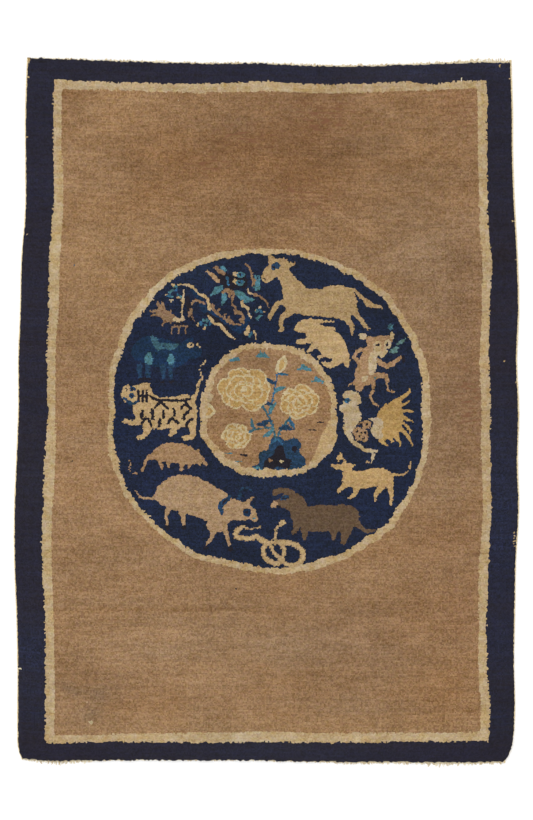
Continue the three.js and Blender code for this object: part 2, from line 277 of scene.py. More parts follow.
def ram(c):
    c.limb("olive", (32, -104, 18), (45, -108, 25), (60, -108, 26), (75, -107.4, 26),
           (82, -106, 20))  # fleece
    c.limb("olive", (22, -90, 17), (29, -94, 19), (32, -102, 18))                    # neck
    c.limb("olive", (24, -84, 8), (20, -81.4, 6), (14.6, -80.6, 5), (8, -82, 6), (7, -84, 4))    # horn
    c.limb("olive", (22, -92, 14), (14, -93, 9), (8, -93, 6))                        # head
    c.limb("tan", (8, -94, 5.4), (5.6, -95.4, 4.4))
    c.limb("olive", (30, -112, 10), (29.4, -118, 6), (25.6, -122.6, 3.4))            # legs
    c.limb("olive", (38, -115, 9), (37.4, -122, 7), (37, -129, 3))
    c.limb("olive", (67, -118, 10), (65.4, -127.4, 4.4))
    c.limb("olive", (79, -116, 13), (77.4, -124, 9), (76, -131.6, 5.4))
    c.limb("olive", (86, -110, 9), (94, -117.6, 4.6), (100, -121, 3), (107.4, -120.4, 1.8))    # tail
    c.oval("midBlue", 17.8, -87.4, 9.4, 5, 12)
    c.oval("ink", 17.4, -87.6, 4.4, 2.2)
    c.oval("ink", 11.8, -95.8, 4, 3)


def snake(c):
    body = [(-7, -117, 1.4), (-18, -118.4, 1.6), (-24, -117, 3), (-30.8, -121, 5), (-30, -126.6, 5.4),
             (-18, -128.2, 5),
            (-11, -126.4, 5), (-4, -130.4, 5), (3, -132, 4), (14.8, -131.8, 4.6), (26.6, -134, 5),
            (34.8, -140, 5),
            (35.2, -148, 5), (29, -154, 4.6), (19.6, -154, 4.6), (13.6, -149.4, 4)]
    coil = [(2, -132, 4), (-3, -136.4, 5), (-4.2, -142.4, 5), (-0.6, -149.2, 5), (7.6, -153, 5),
             (13, -151, 4.6),
            (16, -145.6, 4), (16.6, -138.6, 4.4), (12.4, -133, 4.4)]
    neck = [(7.4, -131, 3.4), (8.2, -121, 2.2), (11, -115.6, 2.2), (14.6, -110.6, 2.2), (17, -112.6, 2.2),
             (13, -114.8, 2.2)]
    cross = [(3, -134, 3.6), (7, -142.4, 3.8), (14.6, -150.6, 4)]
    for route in (body, coil, neck, cross):
        c.limb("sand", *route)
        c.limb("honey", *[(x, y, 0.55 * w) for x, y, w in route])


def boar(c):
    c.limb("tan", (-101, -84, 22), (-92, -83, 33), (-80, -84, 38), (-66, -89, 36), (-54, -95, 34),
           (-46, -98, 30))
    c.limb("tan", (-48, -108, 24), (-49, -115, 14))
    c.limb("tan", (-36, -98, 19), (-27, -99.4, 17), (-19, -100, 13), (-13, -108, 7))  # head and snout
    c.limb("tan", (-44, -106, 8), (-22, -107, 6))
    c.limb("tan", (-20, -93, 6), (-17, -89.6, 2.8), (-14.4, -86.8, 1.6))             # ear
    c.limb("tan", (-99, -99, 5), (-101, -106, 3.2), (-99.6, -113.6, 3.2))            # legs
    c.limb("tan", (-85, -102, 7), (-84, -108, 4), (-83.4, -113.6, 3.2))
    c.limb("tan", (-55, -115, 11), (-54.4, -124, 5), (-56.4, -128.4, 3.4), (-61, -134, 2.8))
    c.limb("tan", (-45, -114, 10), (-41.6, -122, 4.4), (-39.2, -129.4, 3), (-38, -134.4, 3.4))
    c.limb("tan", (-106, -85, 8), (-114, -87.6, 3.2), (-125, -87.6, 2.2), (-129, -84.4, 2),
           (-132, -80.6, 1.6))  # tail
    c.limb("midBlue", (-37.6, -87, 3.6), (-42, -91, 6), (-47, -96, 5), (-45, -103, 3))   # collar
    c.line("ink", 1.9, (-41, -90), (-44, -93))
    c.oval("oxBlue", -20, -102, 8.6, 8.6)
    c.oval("ink", -20.4, -102, 4.6, 4)
    c.oval("oxBlue", -14.8, -95.8, 4, 4.4)
    c.oval("midBlue", -27.4, -86, 3.6, 8)
    c.line("midBlue", 1.5, (-27, -80.4), (-22.6, -77.6), (-18.4, -78), (-15.6, -81.6))
    for x, y in ((-99.6, -117.4), (-83, -117.4), (-61.6, -137.6),
                  (-36.6, -139)):    # dark ground under the feet
        c.oval("ink", x, y, 5, 4.6)
    c.oval("teal", -13.4, -108, 4, 2.6)
    c.line("tan", 1.9, (-14.6, -98), (-11.6, -104))


def rat(c):
    c.limb("fawn", (-113, -46, 8), (-104, -42.6, 16), (-94, -42.4, 20), (-84, -44, 20), (-75, -47, 14),
           (-67, -49, 8),
           (-61.4, -54, 3))
    c.limb("fawn", (-71, -44, 6), (-68, -39, 1.8))                                   # ear
    for x, y, over, down, foot in ((-107.6, -51, 2.6, 7, 1.8), (-100.4, -50, 1.8, 7, 2.4),
                  (-86.6, -51, 1, 8.6, 3.4),
                                   (-78.4, -50, 0.2, 8, 2.2), (-69, -51, 1.4, 4.4, 2)):
        c.limb("fawn", (x, y, 4.6), (x + over, y - down, foot))                      # feet
    c.limb("fawn", (-114, -45, 5), (-118, -47, 4), (-121.6, -51, 3), (-123.4, -57, 2.2), (-125.4, -61, 1.5))
    c.oval("fawn", -132.4, -62.8, 5, 2.2)                                            # tail
    c.limb("fawn", (-136.6, -60.8, 1.4), (-137.8, -58, 1.4), (-137.2, -54, 1.5), (-137.8, -50, 1.3))
    c.oval("ink", -65.4, -53.4, 2.2, 2.6)


def tiger(c):
    c.limb("honey", (-122, 0, 24), (-111, -3, 31), (-95, -2.4, 31), (-86, -1.6, 31), (-82, -1.4, 25))
    c.limb("honey", (-119, 14, 10), (-113, 10, 10))
    c.limb("honey", (-86, 12, 6), (-81, 13, 7))
    c.limb("honey", (-137.6, 15.4, 17), (-131, 15.6, 18), (-123, 17.6, 17))          # head and ruff
    c.limb("honey", (-123.4, 23.6, 8), (-118, 26.6, 2.4))                            # ear
    c.limb("honey", (-144, 20, 3), (-142, 23, 3), (-139, 23.4, 4))
    c.limb("honey", (-125, -10, 9), (-134, -12.6, 5), (-142.6, -10.8, 4.6))          # front legs
    c.limb("honey", (-119, -15, 11), (-121, -21.6, 6), (-124.6, -26, 5), (-130, -27.4, 3.4))
    c.limb("honey", (-91, -13, 10), (-93, -20, 6), (-97, -24.6, 3.6))                # hind legs
    c.limb("honey", (-76, -12, 11), (-74, -21, 6), (-75.4, -26, 5), (-82, -27.8, 5))
    c.limb("honey", (-77, 8, 8), (-72.6, 13.6, 4.4), (-69.6, 19.6, 2.4), (-69.8, 24.4, 2.8), (-67, 29.4, 2.4),
           (-65.6, 32.4, 1.6), (-66.8, 38.4, 1.4), (-66.8, 42, 1.3))                 # tail
    c.limb("honey", (-66, 44.4, 1.3), (-63, 47, 1.3), (-61.6, 50, 1.6))
    c.limb("ringBlue", (-79.6, -18.6, 3), (-80.6, -21, 4))
    c.limb("ink", (-117, 14.2, 2.6), (-110, 9.8, 3.4), (-103, 10, 3.2), (-86, 9.2, 3.4), (-77, 11.4, 3))
    for x in (-128.8, -124.6, -120.8):                                               # ruff
        c.line("ink", 2.7, (x, 19.4), (x, 8.8))
    c.line("ink", 2.2, (-129, 14.4), (-121, 14.4))
    for x, y, over, up in ((-125, -4, 0.8, 3.8), (-114.8, -4.2, -0.4, 4.4), (-103.8, -3.8, 0.2, 3.6),
                           (-93, -1.8, -0.5, 3.2), (-107.6, -12.6, 0.3, 3.4)):
        c.line("ink", 3, (x + over, y + up), (x - over, y - up))                     # short stripes
    for points in (((-112, 2.4), (-106, 8.6), (-99.8, 2)), ((-86, 1.4), (-81.6, 6.8), (-76.2, 1)),
                   ((-99.4, -13.4), (-95.4, -7.6), (-88.8, -13.4))):
        c.line("ink", 2.8, *points, smooth=False)                                    # forked stripes
    c.line("ink", 2.8, (-125, -12.8), (-121.4, -8), (-117.4, -11.4), (-116, -16.4))
    c.line("ink", 3, (-78.6, -1.4), (-82, -3.8), (-84, -9))
    c.line("ink", 2.8, (-74.8, -8.6), (-80.2, -12.4), (-80.4, -17))
    for x, y in ((-135, 20.8), (-135, 14.4)):                                        # eyes
        c.oval("midBlue", x, y, 6, 5)
        c.oval("ink", x, y, 3, 2)
    c.line("midBlue", 2.8, (-142.4, 12), (-138.6, 7.8), (-133.6, 6.4), (-129.6, 8.6))  # mouth
    c.line("ink", 1.5, (-141.4, 22), (-140.4, 19.4))


def ox(c):
    c.limb("oxBlue", (-127, 58, 18), (-119, 60, 27), (-106, 57, 29), (-92, 55, 24), (-82, 59, 18),
           (-71, 58, 11))
    c.limb("oxBlue", (-120, 70, 9), (-115, 72, 5))                                   # hump
    c.limb("oxBlue", (-80, 66, 10), (-76, 70, 5))                                    # horn
    for x in (-127.6, -119.4, -104, -96.4):
        c.limb("midBlue", (x, 44, 6), (x, 33, 3.6))                                  # legs
    c.line("ink", 2.2, (-128, 31.2), (-117.4, 31.2))
    c.oval("ink", -104.4, 28.4, 4.6, 3)
    c.oval("ink", -96.4, 28.4, 6, 3)
    c.limb("deepTeal", (-114.8, 73, 3.6), (-111.6, 68, 6), (-108, 63.4, 7.4), (-102.6, 64.4, 5),
           (-96.4, 62.8, 6.6),
           (-89.6, 65, 2.4))                                                         # saddle cloth
    c.oval("oxBlue", -103.8, 63.4, 3, 2)
    c.oval("teal", -118.8, 50.8, 9, 11)
    c.oval("teal", -118, 56.6, 3, 3)
    c.oval("teal", -96.4, 50.6, 7.6, 11)
    c.oval("cream", -76.6, 64.6, 7, 6.4)                                             # eye
    c.oval("ringBlue", -76.4, 64.6, 4, 2.2)
    c.line("cream", 1.7, (-70.6, 66.4), (-68, 63.4))


# Small flowers of a few teal knots, with pale buds around them
def blossom(c, x, y, petals, buds):
    for across, up, dye in petals:
        c.oval(dye, x + across, y + up, 3.6, 3.2)
    for across, up, size in buds:
        c.oval("honey" if size > 3 else "cream", x + across, y + up, size, 0.85 * size)


def dragon(c):
    c.limb("ink", (-44, 133, 11), (-38, 128, 14), (-28, 130, 15), (-24, 126, 8))     # brow
    c.limb("blue", (-40, 132, 2.6), (-39, 125, 2.2))
    c.limb("oxBlue", (-66, 106, 4), (-62, 100, 7), (-56, 98, 4), (-50, 92, 5),
           (-42, 88, 4))     # coils in the dark
    c.limb("ink", (-80, 112, 4), (-78, 100, 5), (-76, 90, 3))
    c.limb("oxBlue", (-76, 121, 3), (-68, 112, 4), (-64, 108, 3))
    c.limb("ink", (-60, 96, 4), (-50, 90, 4), (-40, 80, 4))
    c.limb("oxBlue", (-36, 84, 5), (-28, 80, 6), (-22, 86, 5), (-18, 96, 4))
    c.line("ink", 2.4, (-93, 86.6), (-83, 86.6))
    c.limb("teal", (-56.4, 115, 2), (-50, 119.6, 6.4), (-45.6, 123, 3))              # clouds
    c.limb("teal", (-43.6, 117, 3.6), (-43, 111, 5), (-44.6, 105.4, 1.8))
    c.limb("teal", (-32.6, 117.4, 3), (-27, 115.6, 6), (-22, 111, 7), (-14.6, 110, 2))
    c.limb("teal", (-22, 111, 4), (-21, 108, 2))
    c.limb("teal", (-46, 143, 3.6), (-43, 140.6, 4.4), (-42.4, 138.6, 2.4))
    c.limb("teal", (-12.4, 133.4, 2.4), (-10.4, 128, 5), (-11.8, 121, 3.6))
    c.line("teal", 1.9, (-9, 135), (-7.8, 130), (-8.8, 120))
    c.limb("russet", (-44.4, 118, 2.6), (-41, 119.4, 4.6), (-37, 118, 5),
           (-33.6, 115.4, 3.6))   # nose and horns
    c.limb("russet", (-38, 115, 2.4), (-38, 113, 1.8))
    c.limb("tan", (-60.4, 138.2, 2.2), (-54, 133.4, 4), (-49.4, 128.8, 4.4))
    c.limb("russet", (-51.6, 142.6, 4), (-46, 137.6, 4), (-43, 136.6, 3))
    for y, wide in ((135, 9), (127.4, 8.4)):                                         # eyes
        c.oval("cream", -32.2, y + 1, 5.4, 4.4)
        c.oval("teal", -27, y, wide, 5.6)
        c.oval("blue", -26.6, y + 0.4, 5, 3.2)
        c.oval("ink", -27.4, y + 0.2, 3, 2)
    c.limb("russet", (-106, 98, 8), (-101, 94, 10), (-95.6, 92, 8))                    # a beast's head
    c.limb("russet", (-108, 96.6, 6), (-114.4, 94.6, 2.4))
    c.limb("russet", (-109, 98.6, 4), (-116.6, 98.8, 1.7))
    c.limb("russet", (-107, 101, 4), (-109.4, 108.6, 1.6))
    c.limb("russet", (-103.8, 100, 4.4), (-104.8, 108.4, 1.9))
    c.limb("russet", (-96.6, 94, 4), (-96, 98.4, 1.8))
    c.limb("russet", (-102.8, 90, 3.4), (-104.8, 85, 1.7))
    c.limb("russet", (-98.4, 90, 3.4), (-96.6, 87.4, 1.7))
    c.line("russet", 1.7, (-95.4, 83.6), (-81.4, 83.8))                                # claws
    for x, tip in ((-95, -96.2), (-88.4, -88.6), (-81, -82.2)):
        c.line("russet", 1.8, (x, 83.6), (tip, 76.8))
    for route in (((-89, 125.6, 2), (-79, 124.6, 2), (-74.4, 122.4, 2.7), (-68.4, 116.4, 2.2),
                  (-63.8, 114, 3),
                   (-59.4, 110.6, 2.4), (-58.4, 105.6, 3), (-57.8, 101.4, 4)),       # pale backbone
                  ((-83.4, 120, 1.9), (-83.6, 115, 1.9), (-84.8, 110.4, 3.2), (-83.6, 106.4, 1.9),
                  (-85.4, 102, 2),
                   (-85, 95, 2), (-84.8, 91, 3)), ((-83.8, 90, 3.6), (-92.2, 90.4, 4)),
                  ((-59, 94.2, 1.9), (-56.2, 90.8, 4.2), (-53.2, 86, 2.2), (-48.6, 86, 2.4), (-44, 81.2, 3.8),
                   (-39.4, 76, 3), (-33.4, 71.4, 1.9)),
                  ((-24.4, 109.2, 1.8), (-24.4, 104.6, 3.6), (-20.2, 102.2, 2.8), (-18.8, 97.4, 2.2),
                  (-16.4, 92.8, 2)),
                  ((-19.4, 84.4, 1.7), (-19.2, 79.6, 4.2), (-22.4, 76.6, 2.4), (-21, 74.4, 2)),
                  ((-12.8, 78.2, 2), (-12.2, 75, 2), (-12.4, 71.4, 1.7)),
                  ((-19.6, 121, 1.8), (-18.8, 118, 2), (-14.8, 115.4, 1.9))):
        c.limb("cream", *route)
    for route in (((-74.6, 105.6, 1.8), (-73.4, 108.8, 1.8), (-70.6, 110, 1.8), (-67.6, 108.8, 1.7),
                  (-62.4, 106, 1.8)),
                  ((-54.8, 104.2, 4.8), (-54, 100.4, 2.8), (-50.2, 97.4, 4)), ((-50, 97, 2),
                  (-48.2, 100.4, 1.6)),
                  ((-49, 96, 2), (-46.2, 93.4, 2), (-42.2, 89.8, 2), (-37.8, 89, 5), (-33.2, 85.8, 1.9),
                  (-26.4, 85.2, 1.8)),
                  ((-43.4, 92, 1.8), (-41.6, 96.2, 1.6)), ((-38.6, 90, 3), (-38.6, 93, 1.8)),
                  ((-76.8, 102, 1.6), (-76, 98, 3.4), (-78.4, 93.4, 1.6)), ((-75.8, 93.6, 1.6),
                  (-73.4, 89, 1.6)),
                  ((-35.2, 113.6, 1.7), (-34.8, 106, 1.8), (-31.8, 102, 1.6), (-30.6, 97.8, 4.4),
                  (-25.6, 96.6, 2),
                   (-24, 92.6, 2), (-26.4, 89.8, 4.4)), ((-25, 89, 2), (-23.6, 87.2, 1.7)),
                  ((-21.8, 145.4, 1.6), (-18.8, 143, 1.7), (-16, 138, 1.8), (-16, 132.6, 1.9),
                  (-13.4, 130, 3.4),
                   (-15, 124.8, 2.6)), ((-14, 115, 2), (-10.4, 115, 2), (-4.2, 111, 1.8), (0, 107, 1.8),
                   (0.8, 102.8, 1.7))):
        c.limb("russet", *route)
    blossom(c, -94, 118, ((2.4, 5.4, "teal"), (3.2, 2, "blue"), (-0.6, 1.4, "teal"), (-3, 0, "teal"),
            (-5, -3.4, "blue"),
                          (-1.4, -5, "teal"), (4.6, -2.4, "blue"), (6, -5, "teal")),
            ((-0.8, 7.4, 3.6), (-7.2, -2.8, 2.4), (-1.8, -8.6, 2.9), (4.4, -5.6, 3.2)))
    blossom(c, -63, 87.4, ((-1.6, 2.4, "teal"), (-4, -0.8, "blue"), (2.2, 1.6, "teal"), (1.4, -3, "teal"),
            (5.6, -1, "blue")),
            ((-6.6, -2, 3.1), (0.4, -6.2, 3.3)))
    blossom(c, -8, 97.4, ((-3, 1.4, "teal"), (0, 3, "blue"), (0.8, -3, "teal"), (-1.6, -5.4, "teal"),
            (2.4, 0.6, "blue")),
            ((0.8, 5.8, 2.8), (5, 1, 2.4), (-4, 3, 2)))
    blossom(c, -18.6, 74.6, ((0, 0, "teal"), (2.6, 1.4, "blue")), ())


# A peony of two rings of petals, gold with pale rims, none quite like its neighbour
def peony(c, x, y, size, turn=0):
    for count, reach, wide in ((9, 0.78, 0.46), (7, 0.46, 0.4), (4, 0.18, 0.32)):
        for k in range(count):
            a = math.radians(turn + 360 / count * k + 11 * math.sin(2.3 * k + turn))
            r = wide * size * (1 + 0.16 * math.sin(1.9 * k + turn + count))
            acrossTo, upTo = x + reach * size * math.cos(a), y + 0.88 * reach * size * math.sin(a)
            c.oval("pale", acrossTo, upTo, 2 * r, 1.8 * r)
            rim = 1.15
            inX, inY = rim * 0.6 * math.cos(a), rim * 0.6 * math.sin(a)
            c.oval("gold", acrossTo - inX, upTo - inY, 2 * (r - rim), 1.8 * (r - rim))
        turn += 17
    c.oval("pale", x, y, 0.3 * size, 0.26 * size)


def leaf(c, dye, x, y, length, turn):
    along = math.radians(turn)
    tipX, tipY = x + length * math.cos(along), y + length * math.sin(along)
    bend = 0.1 * length
    middleX, middleY = (x + tipX) / 2 - bend * math.sin(along), (y + tipY) / 2 + bend * math.cos(along)
    c.limb(dye, (x, y, 1.8), (middleX, middleY, 0.36 * length), (tipX, tipY, 1.2))


def cloudlet(c, x, y, size=1.0):
    c.limb("teal", (x - 7 * size, y - 1.4 * size, 1.8), (x - 3 * size, y - 1 * size, 2.6),
           (x + 3 * size, y - 1 * size, 2.6),
           (x + 7 * size, y - 1.8 * size, 1.8))
    c.oval("teal", x - 1.6 * size, y + 1.6 * size, 4.4 * size, 4.6 * size)
    c.oval("teal", x + 2.2 * size, y + 0.8 * size, 3.4 * size, 3.4 * size)


# The middle holds a garden piece: peonies and a bud by a blue rock, under small clouds
def middle(c):
    c.patch("honey", (38, -70), (40, -56), (47, -45), (52, -30), (58, -18), (66, -6), (84, -10),
            (84, -70))    # pale bank
    for x, y, wide, high, dye in ((-61, 27, 15, 14, "pale"), (-63, 13, 17, 13, "ivory"),
                  (-60, -1, 16, 14, "pale")):
        c.oval(dye, x, y, wide, high)                                                # clouds at the left
    c.oval("gold", -60, 27, 9, 8)
    c.oval("gold", -59, -1, 9, 8)
    c.patch("midBlue", (-18, -70), (-17, -58), (-9, -53), (-8, -43), (1, -39), (3, -30), (11, -26),
            (18, -31), (26, -27),
            (33, -33), (32, -42), (39, -50), (36, -60), (30, -72))                   # rock
    c.patch("ink", (-4, -58), (-1, -49), (6, -45), (9, -36), (16, -37), (18, -47), (24, -51), (21, -59),
            (10, -56),
            (3, -61))
    c.oval("ink", 27, -39, 5, 7, 20)
    c.oval("camel", 3, -50, 3.4, 4.6, 30)
    c.oval("pale", 14, -51, 4.6, 2.6, 20)
    c.line("teal", 1.8, (-15, -60), (-9, -57), (-5, -64))
    c.line("teal", 1.7, (24, -66), (29, -60), (35, -62))
    c.line("blue", 1.8, (4, -33), (10, -29), (14, -33))
    c.line("deepTeal", 2.4, (8, -27), (4, -12), (-2, 0), (-9, 12))
    c.line("deepTeal", 2, (10, -26), (17, -14), (28, -2))
    c.line("blue", 1.9, (1, -6), (6, 14), (9, 30), (12, 42))
    c.line("deepTeal", 1.8, (5, -17), (-10, -19), (-22, -23))
    for dye, x, y, length, turn in (
            ("midBlue", 3, -10, 15, 196), ("teal", 6, -18, 14, 218), ("midBlue", 12, -18, 15, -8),
            ("teal", 3, -3, 12, 60),
            ("midBlue", 4, 6, 14, 150), ("teal", 7, 18, 13, 24), ("midBlue", 8, 27, 12, 148),
            ("blue", 20, -10, 11, -50),
            ("deepTeal", -12, -19, 11, 112), ("blue", 12, 36, 9, -10)):
        leaf(c, dye, x, y, length, turn)
    peony(c, -23, 21, 21, 10)
    peony(c, 32, 8, 16, 47)
    peony(c, -31, -26, 12, 5)
    c.limb("pale", (12, 41, 8), (15, 47, 10), (17, 53, 3))                           # bud
    c.limb("gold", (13, 42, 4), (15, 47, 5), (16, 50, 2))
    cloudlet(c, 37, 42)
    cloudlet(c, 50, 30, 0.9)
    cloudlet(c, -5, 55, 0.9)
    cloudlet(c, -32, 51, 0.7)
    for dye, x, y, length in (("ink", 42, -20, 7), ("ink", 50, -12, 5), ("teal", -44, -43, 9),
                  ("teal", -34, -51, 8), ("ink", -26, -45, 6)):
        c.line(dye, 1.8, (x, y), (x + length, y))


medallion = {
    "centre": (2.2, 1.5),     # of the inner ring, millimetres from the middle of the cloth
    "unit": 2.55,             # millimetres to one unit of the drawing
    "ringCentre": (6, 0),     # units, the outer ring is knotted a little off the inner one
    "ring": (                 # angle, where the blue ends and where the cream ends
        (0, 147, 156), (15, 152, 159.5), (30, 151.5, 159.5), (45, 155.5, 162.5), (60, 155, 161.5),
        (75, 155, 161.5),
        (90, 155.5, 160.5), (105, 159, 164.5), (120, 163, 169.5), (135, 165, 172), (150, 164.5, 171.5),
        (165, 162, 168),
        (180, 158.5, 164), (195, 164, 170), (210, 163, 170), (225, 163.5, 168.5), (240, 160.5, 166.5),
        (255, 156, 162),
        (270, 157, 164), (285, 157.5, 164.5), (300, 158.5, 165), (315, 160.5, 168), (330, 156.5, 163),
        (345, 153, 160)),
    # angle, reach, and width of its cream line
    "innerRing": (
        (0, 69, 6), (20, 70, 6), (35, 69.4, 6), (60, 69.8, 7), (72, 67, 5.6), (90, 66.8, 5.6), (110, 69.6, 5),
        (130, 68.8, 6.2), (150, 68.4, 6), (162, 66.8, 6.5), (168, 68.4, 6.5), (180, 67, 7),
        (190, 67.4, 7), (202, 71.8, 7), (210, 69.8, 7), (230, 69, 7.4),
        (250, 68.8, 7.6), (270, 66.2, 8), (285, 68.2, 6.6), (300, 72.4, 6), (330, 76, 6), (345, 72, 6)),
    "wobble": 1.1,            # units that the round outlines wander
    "teeth": 1.0,             # and that their knots stick out
}

# Repairs, tied ends and specks, in the same units: dye, across, up, wide, high
marks = (
    ("pale", -175.9, -311.6, 3.4, 5), ("bare", -89.4, 309.4, 1.5, 1.5), ("blue", -193.4, 144.4, 1.5, 1.5),
    ("cream", 232.3, 343.8, 2, 2), ("cream", 242.1, 331.4, 1.6, 1.6), ("cream", 248.6, 149.9, 2.4, 1.8),
    ("cream", 245.6, 188.6, 1.6, 1.6), ("cream", 236.6, 49.4, 1.5, 1.5), ("cream", 248.4, 27.8, 2.6, 2),
    ("cream", -239, 332.8, 2.6, 1.8), ("cream", -239.6, 272.6, 1.8, 1.6), ("cream", -240, 175.4, 2.4, 1.8),
    ("cream", -238, 349, 3.4, 3.4), ("bare", -247, -258.8, 3.6, 1.4), ("bare", 193.6, 330, 1.6, 3.4),
    ("cream", 250, 173.6, 2.4, 2.4), ("cream", 249.6, -252.2, 2.4, 2.2), ("cream", 250, -221, 2, 1.8),
    ("cream", 250, -269, 1.8, 1.6), ("ink", -86.4, -225.6, 1.6, 1.6), ("ink", -86.4, -149.6, 1.6, 1.6),
    ("ink", -195.4, -51.6, 1.6, 1.6), ("ink", -32.4, -178.6, 1.6, 1.6),
    ("tan", -168.4, -289, 1.2, 3), ("tan", -172.4, -294, 1.3, 1.3), ("tan", -180.4, -291.6, 1.2, 1.2),
    ("tan", -168, -305.4, 1.3, 1.3), ("tan", -186.4, -295.6, 1.2, 1.2), ("tan", -177, -301.6, 1.2, 1.2),
    *(("cream", 243.4, 347 - 2.7 * n, 1.3, 1.3) for n in range(9)),     # a row of stitches
    *(("cream", 246.6, -122.4 - 2.7 * n, 1.5, 1.2) for n in range(6)),
)


# For each of a line of steps the mark before it, and how far it is eased towards the next mark
def eased(count, step):
    at = np.arange(count) / step
    low = at.astype(int)
    t = at - low
    return low, t * t * (3 - 2 * t)


# Values from -1 to 1 that wander smoothly along a line, one mark to every so many steps
def wandering(count, step):
    marks = random.random(int(count / step) + 3) * 2 - 1
    low, t = eased(count, step)
    return marks[low] * (1 - t) + marks[low + 1] * t


def aroundRing(table, column, angle):
    turns = np.array([row[0] for row in table] + [360.0])
    reach = np.array([row[column] for row in table] + [table[0][column]])
    return np.interp(angle % 360, turns, reach)


# Places on the cloth at shares of its width and length, evenly between its four edges
def placeOnCloth(edges, across, up):
    left, right, bottom, top = edges

    def at(line, share):
        steps = np.hypot(*np.diff(line, axis=0).T)
        way = np.concatenate([[0], np.cumsum(steps)]) / steps.sum()
        return np.stack([np.interp(share, way, line[:, 0]), np.interp(share, way, line[:, 1])], -1)

    u, v = np.meshgrid(across, up)
    u, v = u[..., None], v[..., None]
    l, r = at(left, up)[:, None], at(right, up)[:, None]
    b, t = at(bottom, across)[None], at(top, across)[None]
    straight = ((1 - u) * (1 - v) * bottom[0] + u * (1 - v) * bottom[-1]
                + (1 - u) * v * top[0] + u * v * top[-1])
    return (1 - v) * b + v * t + (1 - u) * l + u * r - straight


# The four edges of the cloth's solid where it meets the floor
def edgeLines(corners):
    spots = corners[corners[:, 2] < 1e-4][:, :2]
    spots = np.unique(np.round(spots, 6), axis=0)
    spots = spots[np.argsort(np.arctan2(spots[:, 1], spots[:, 0]))]
    turn = [int(np.argmin(spots @ way)) for way in ((1, 1), (-1, 1), (-1, -1), (1, -1))]
    loops = [np.roll(spots, -start, axis=0) for start in turn]
    size = len(spots)
    lines = [loop[:(turn[(n + 1) % 4] - turn[n]) % size + 1] for n, loop in enumerate(loops)]
    bottom, right, top, left = lines
    return left[::-1], right, bottom, top[::-1]


def knotChart(edges):
    knot = chart["knot"] / 1000
    wide = np.hypot(*np.diff(edges[2], axis=0).T).sum()
    long = np.hypot(*np.diff(edges[0], axis=0).T).sum()
    columns, rows = round(wide / knot), round(long / knot)
    place = placeOnCloth(edges, (np.arange(columns) + 0.5) / columns, (np.arange(rows) + 0.5) / rows)
    unit = medallion["unit"] / 1000
    x = place[..., 0] / unit - medallion["centre"][0] / medallion["unit"]
    y = place[..., 1] / unit - medallion["centre"][1] / medallion["unit"]
    shift = chart["rowShift"] * chart["knot"] / medallion["unit"]
    x = x + shift * (random.random((rows, 1)) - 0.5) + 0.35 * shift * (random.random(x.shape) - 0.5)
    y = y + 0.5 * shift * (random.random((1, columns)) - 0.5) + 0.3 * shift * (random.random(x.shape) - 0.5)
    c = Chart(x, y)

    fromSides = []
    ways = (("left", 1, 0, 1), ("right", 1, 0, -1), ("bottom", 0, 1, 1), ("top", 0, 1, -1))
    for line, (name, along, away, side) in zip(edges, ways):
        fromCorner, toCorner = line[:, along].min() + 0.06, line[:, along].max() - 0.03    # the corners are worn round
        straight = line[(line[:, along] > fromCorner) & (line[:, along] < toCorner)]
        edge = np.interp(place[..., along], straight[:, along], straight[:, away])
        distance = side * (place[..., away] - edge) / knot
        share, indigo, cream = np.array(chart[name]).T
        count = rows if along else columns
        for width, rough in ((indigo, 1), (indigo + cream, 0.4)):
            stray = chart["wobble"] * rough * (0.6 * wandering(count, 6) + 0.9 * wandering(count, 1.2))
            stray = stray + np.interp((np.arange(count) + 0.5) / count, share, width)
            fromSides.append(distance > (stray[:, None] if along else stray[None]))
    c.fill("indigo", ~np.logical_and.reduce(fromSides[0::2]))
    c.fill("cream", np.logical_and.reduce(fromSides[0::2]) & ~np.logical_and.reduce(fromSides[1::2]))
    ringX, ringY = medallion["ringCentre"]
    angle = np.degrees(np.arctan2(y - ringY, x - ringX))
    away = np.hypot(x - ringX, y - ringY)
    for wool, column, teeth in (("cream", 2, 0.5), ("ringBlue", 1, 1)):
        stray = wandering(360, 3) + 0.7 * wandering(360, 9)
        away = away + medallion["wobble"] * np.interp(angle % 360, np.arange(360), stray)
        away = away + teeth * medallion["teeth"] * lumps(x.shape, 1.3)
        c.fill(wool, away < aroundRing(medallion["ring"], column, angle))
    for animal in (dragon, ox, horse, hare, monkey, rooster, dog, ram, snake, boar, rat, tiger):
        animal(c)
    angle, away = np.degrees(np.arctan2(y, x)), np.hypot(x, y)
    inner = aroundRing(medallion["innerRing"], 1, angle)
    inner = inner + medallion["wobble"] * np.interp(angle % 360, np.arange(360), wandering(360, 4))
    inner = inner + 0.8 * medallion["teeth"] * lumps(x.shape, 1.3)
    line = aroundRing(medallion["innerRing"], 2, angle)
    line = line + 0.6 * medallion["wobble"] * np.interp(angle % 360, np.arange(360), wandering(360, 4))
    drawn = c.dye.copy()
    c.fill("camel", away < inner + 2)
    middle(c)
    c.dye[away >= inner] = drawn[away >= inner]
    c.fill("cream", (away < inner) & (away > inner - line))
    for mark in marks:
        c.oval(*mark)
    return c.dye, place, np.stack([c.x, c.y], -1)


# Smooth random values from -1 to 1, one lump to every so many knots up and across
def lumps(shape, *steps):
    steps = (steps[0], steps[-1])
    marks = random.random([int(count / step) + 3 for count, step in zip(shape, steps)]) * 2 - 1
    for axis, (count, step) in enumerate(zip(shape, steps)):
        low, t = eased(count, step)
        t = np.expand_dims(t, 1 - axis)
        marks = marks.take(low, axis) * (1 - t) + marks.take(low + 1, axis) * t
    return marks


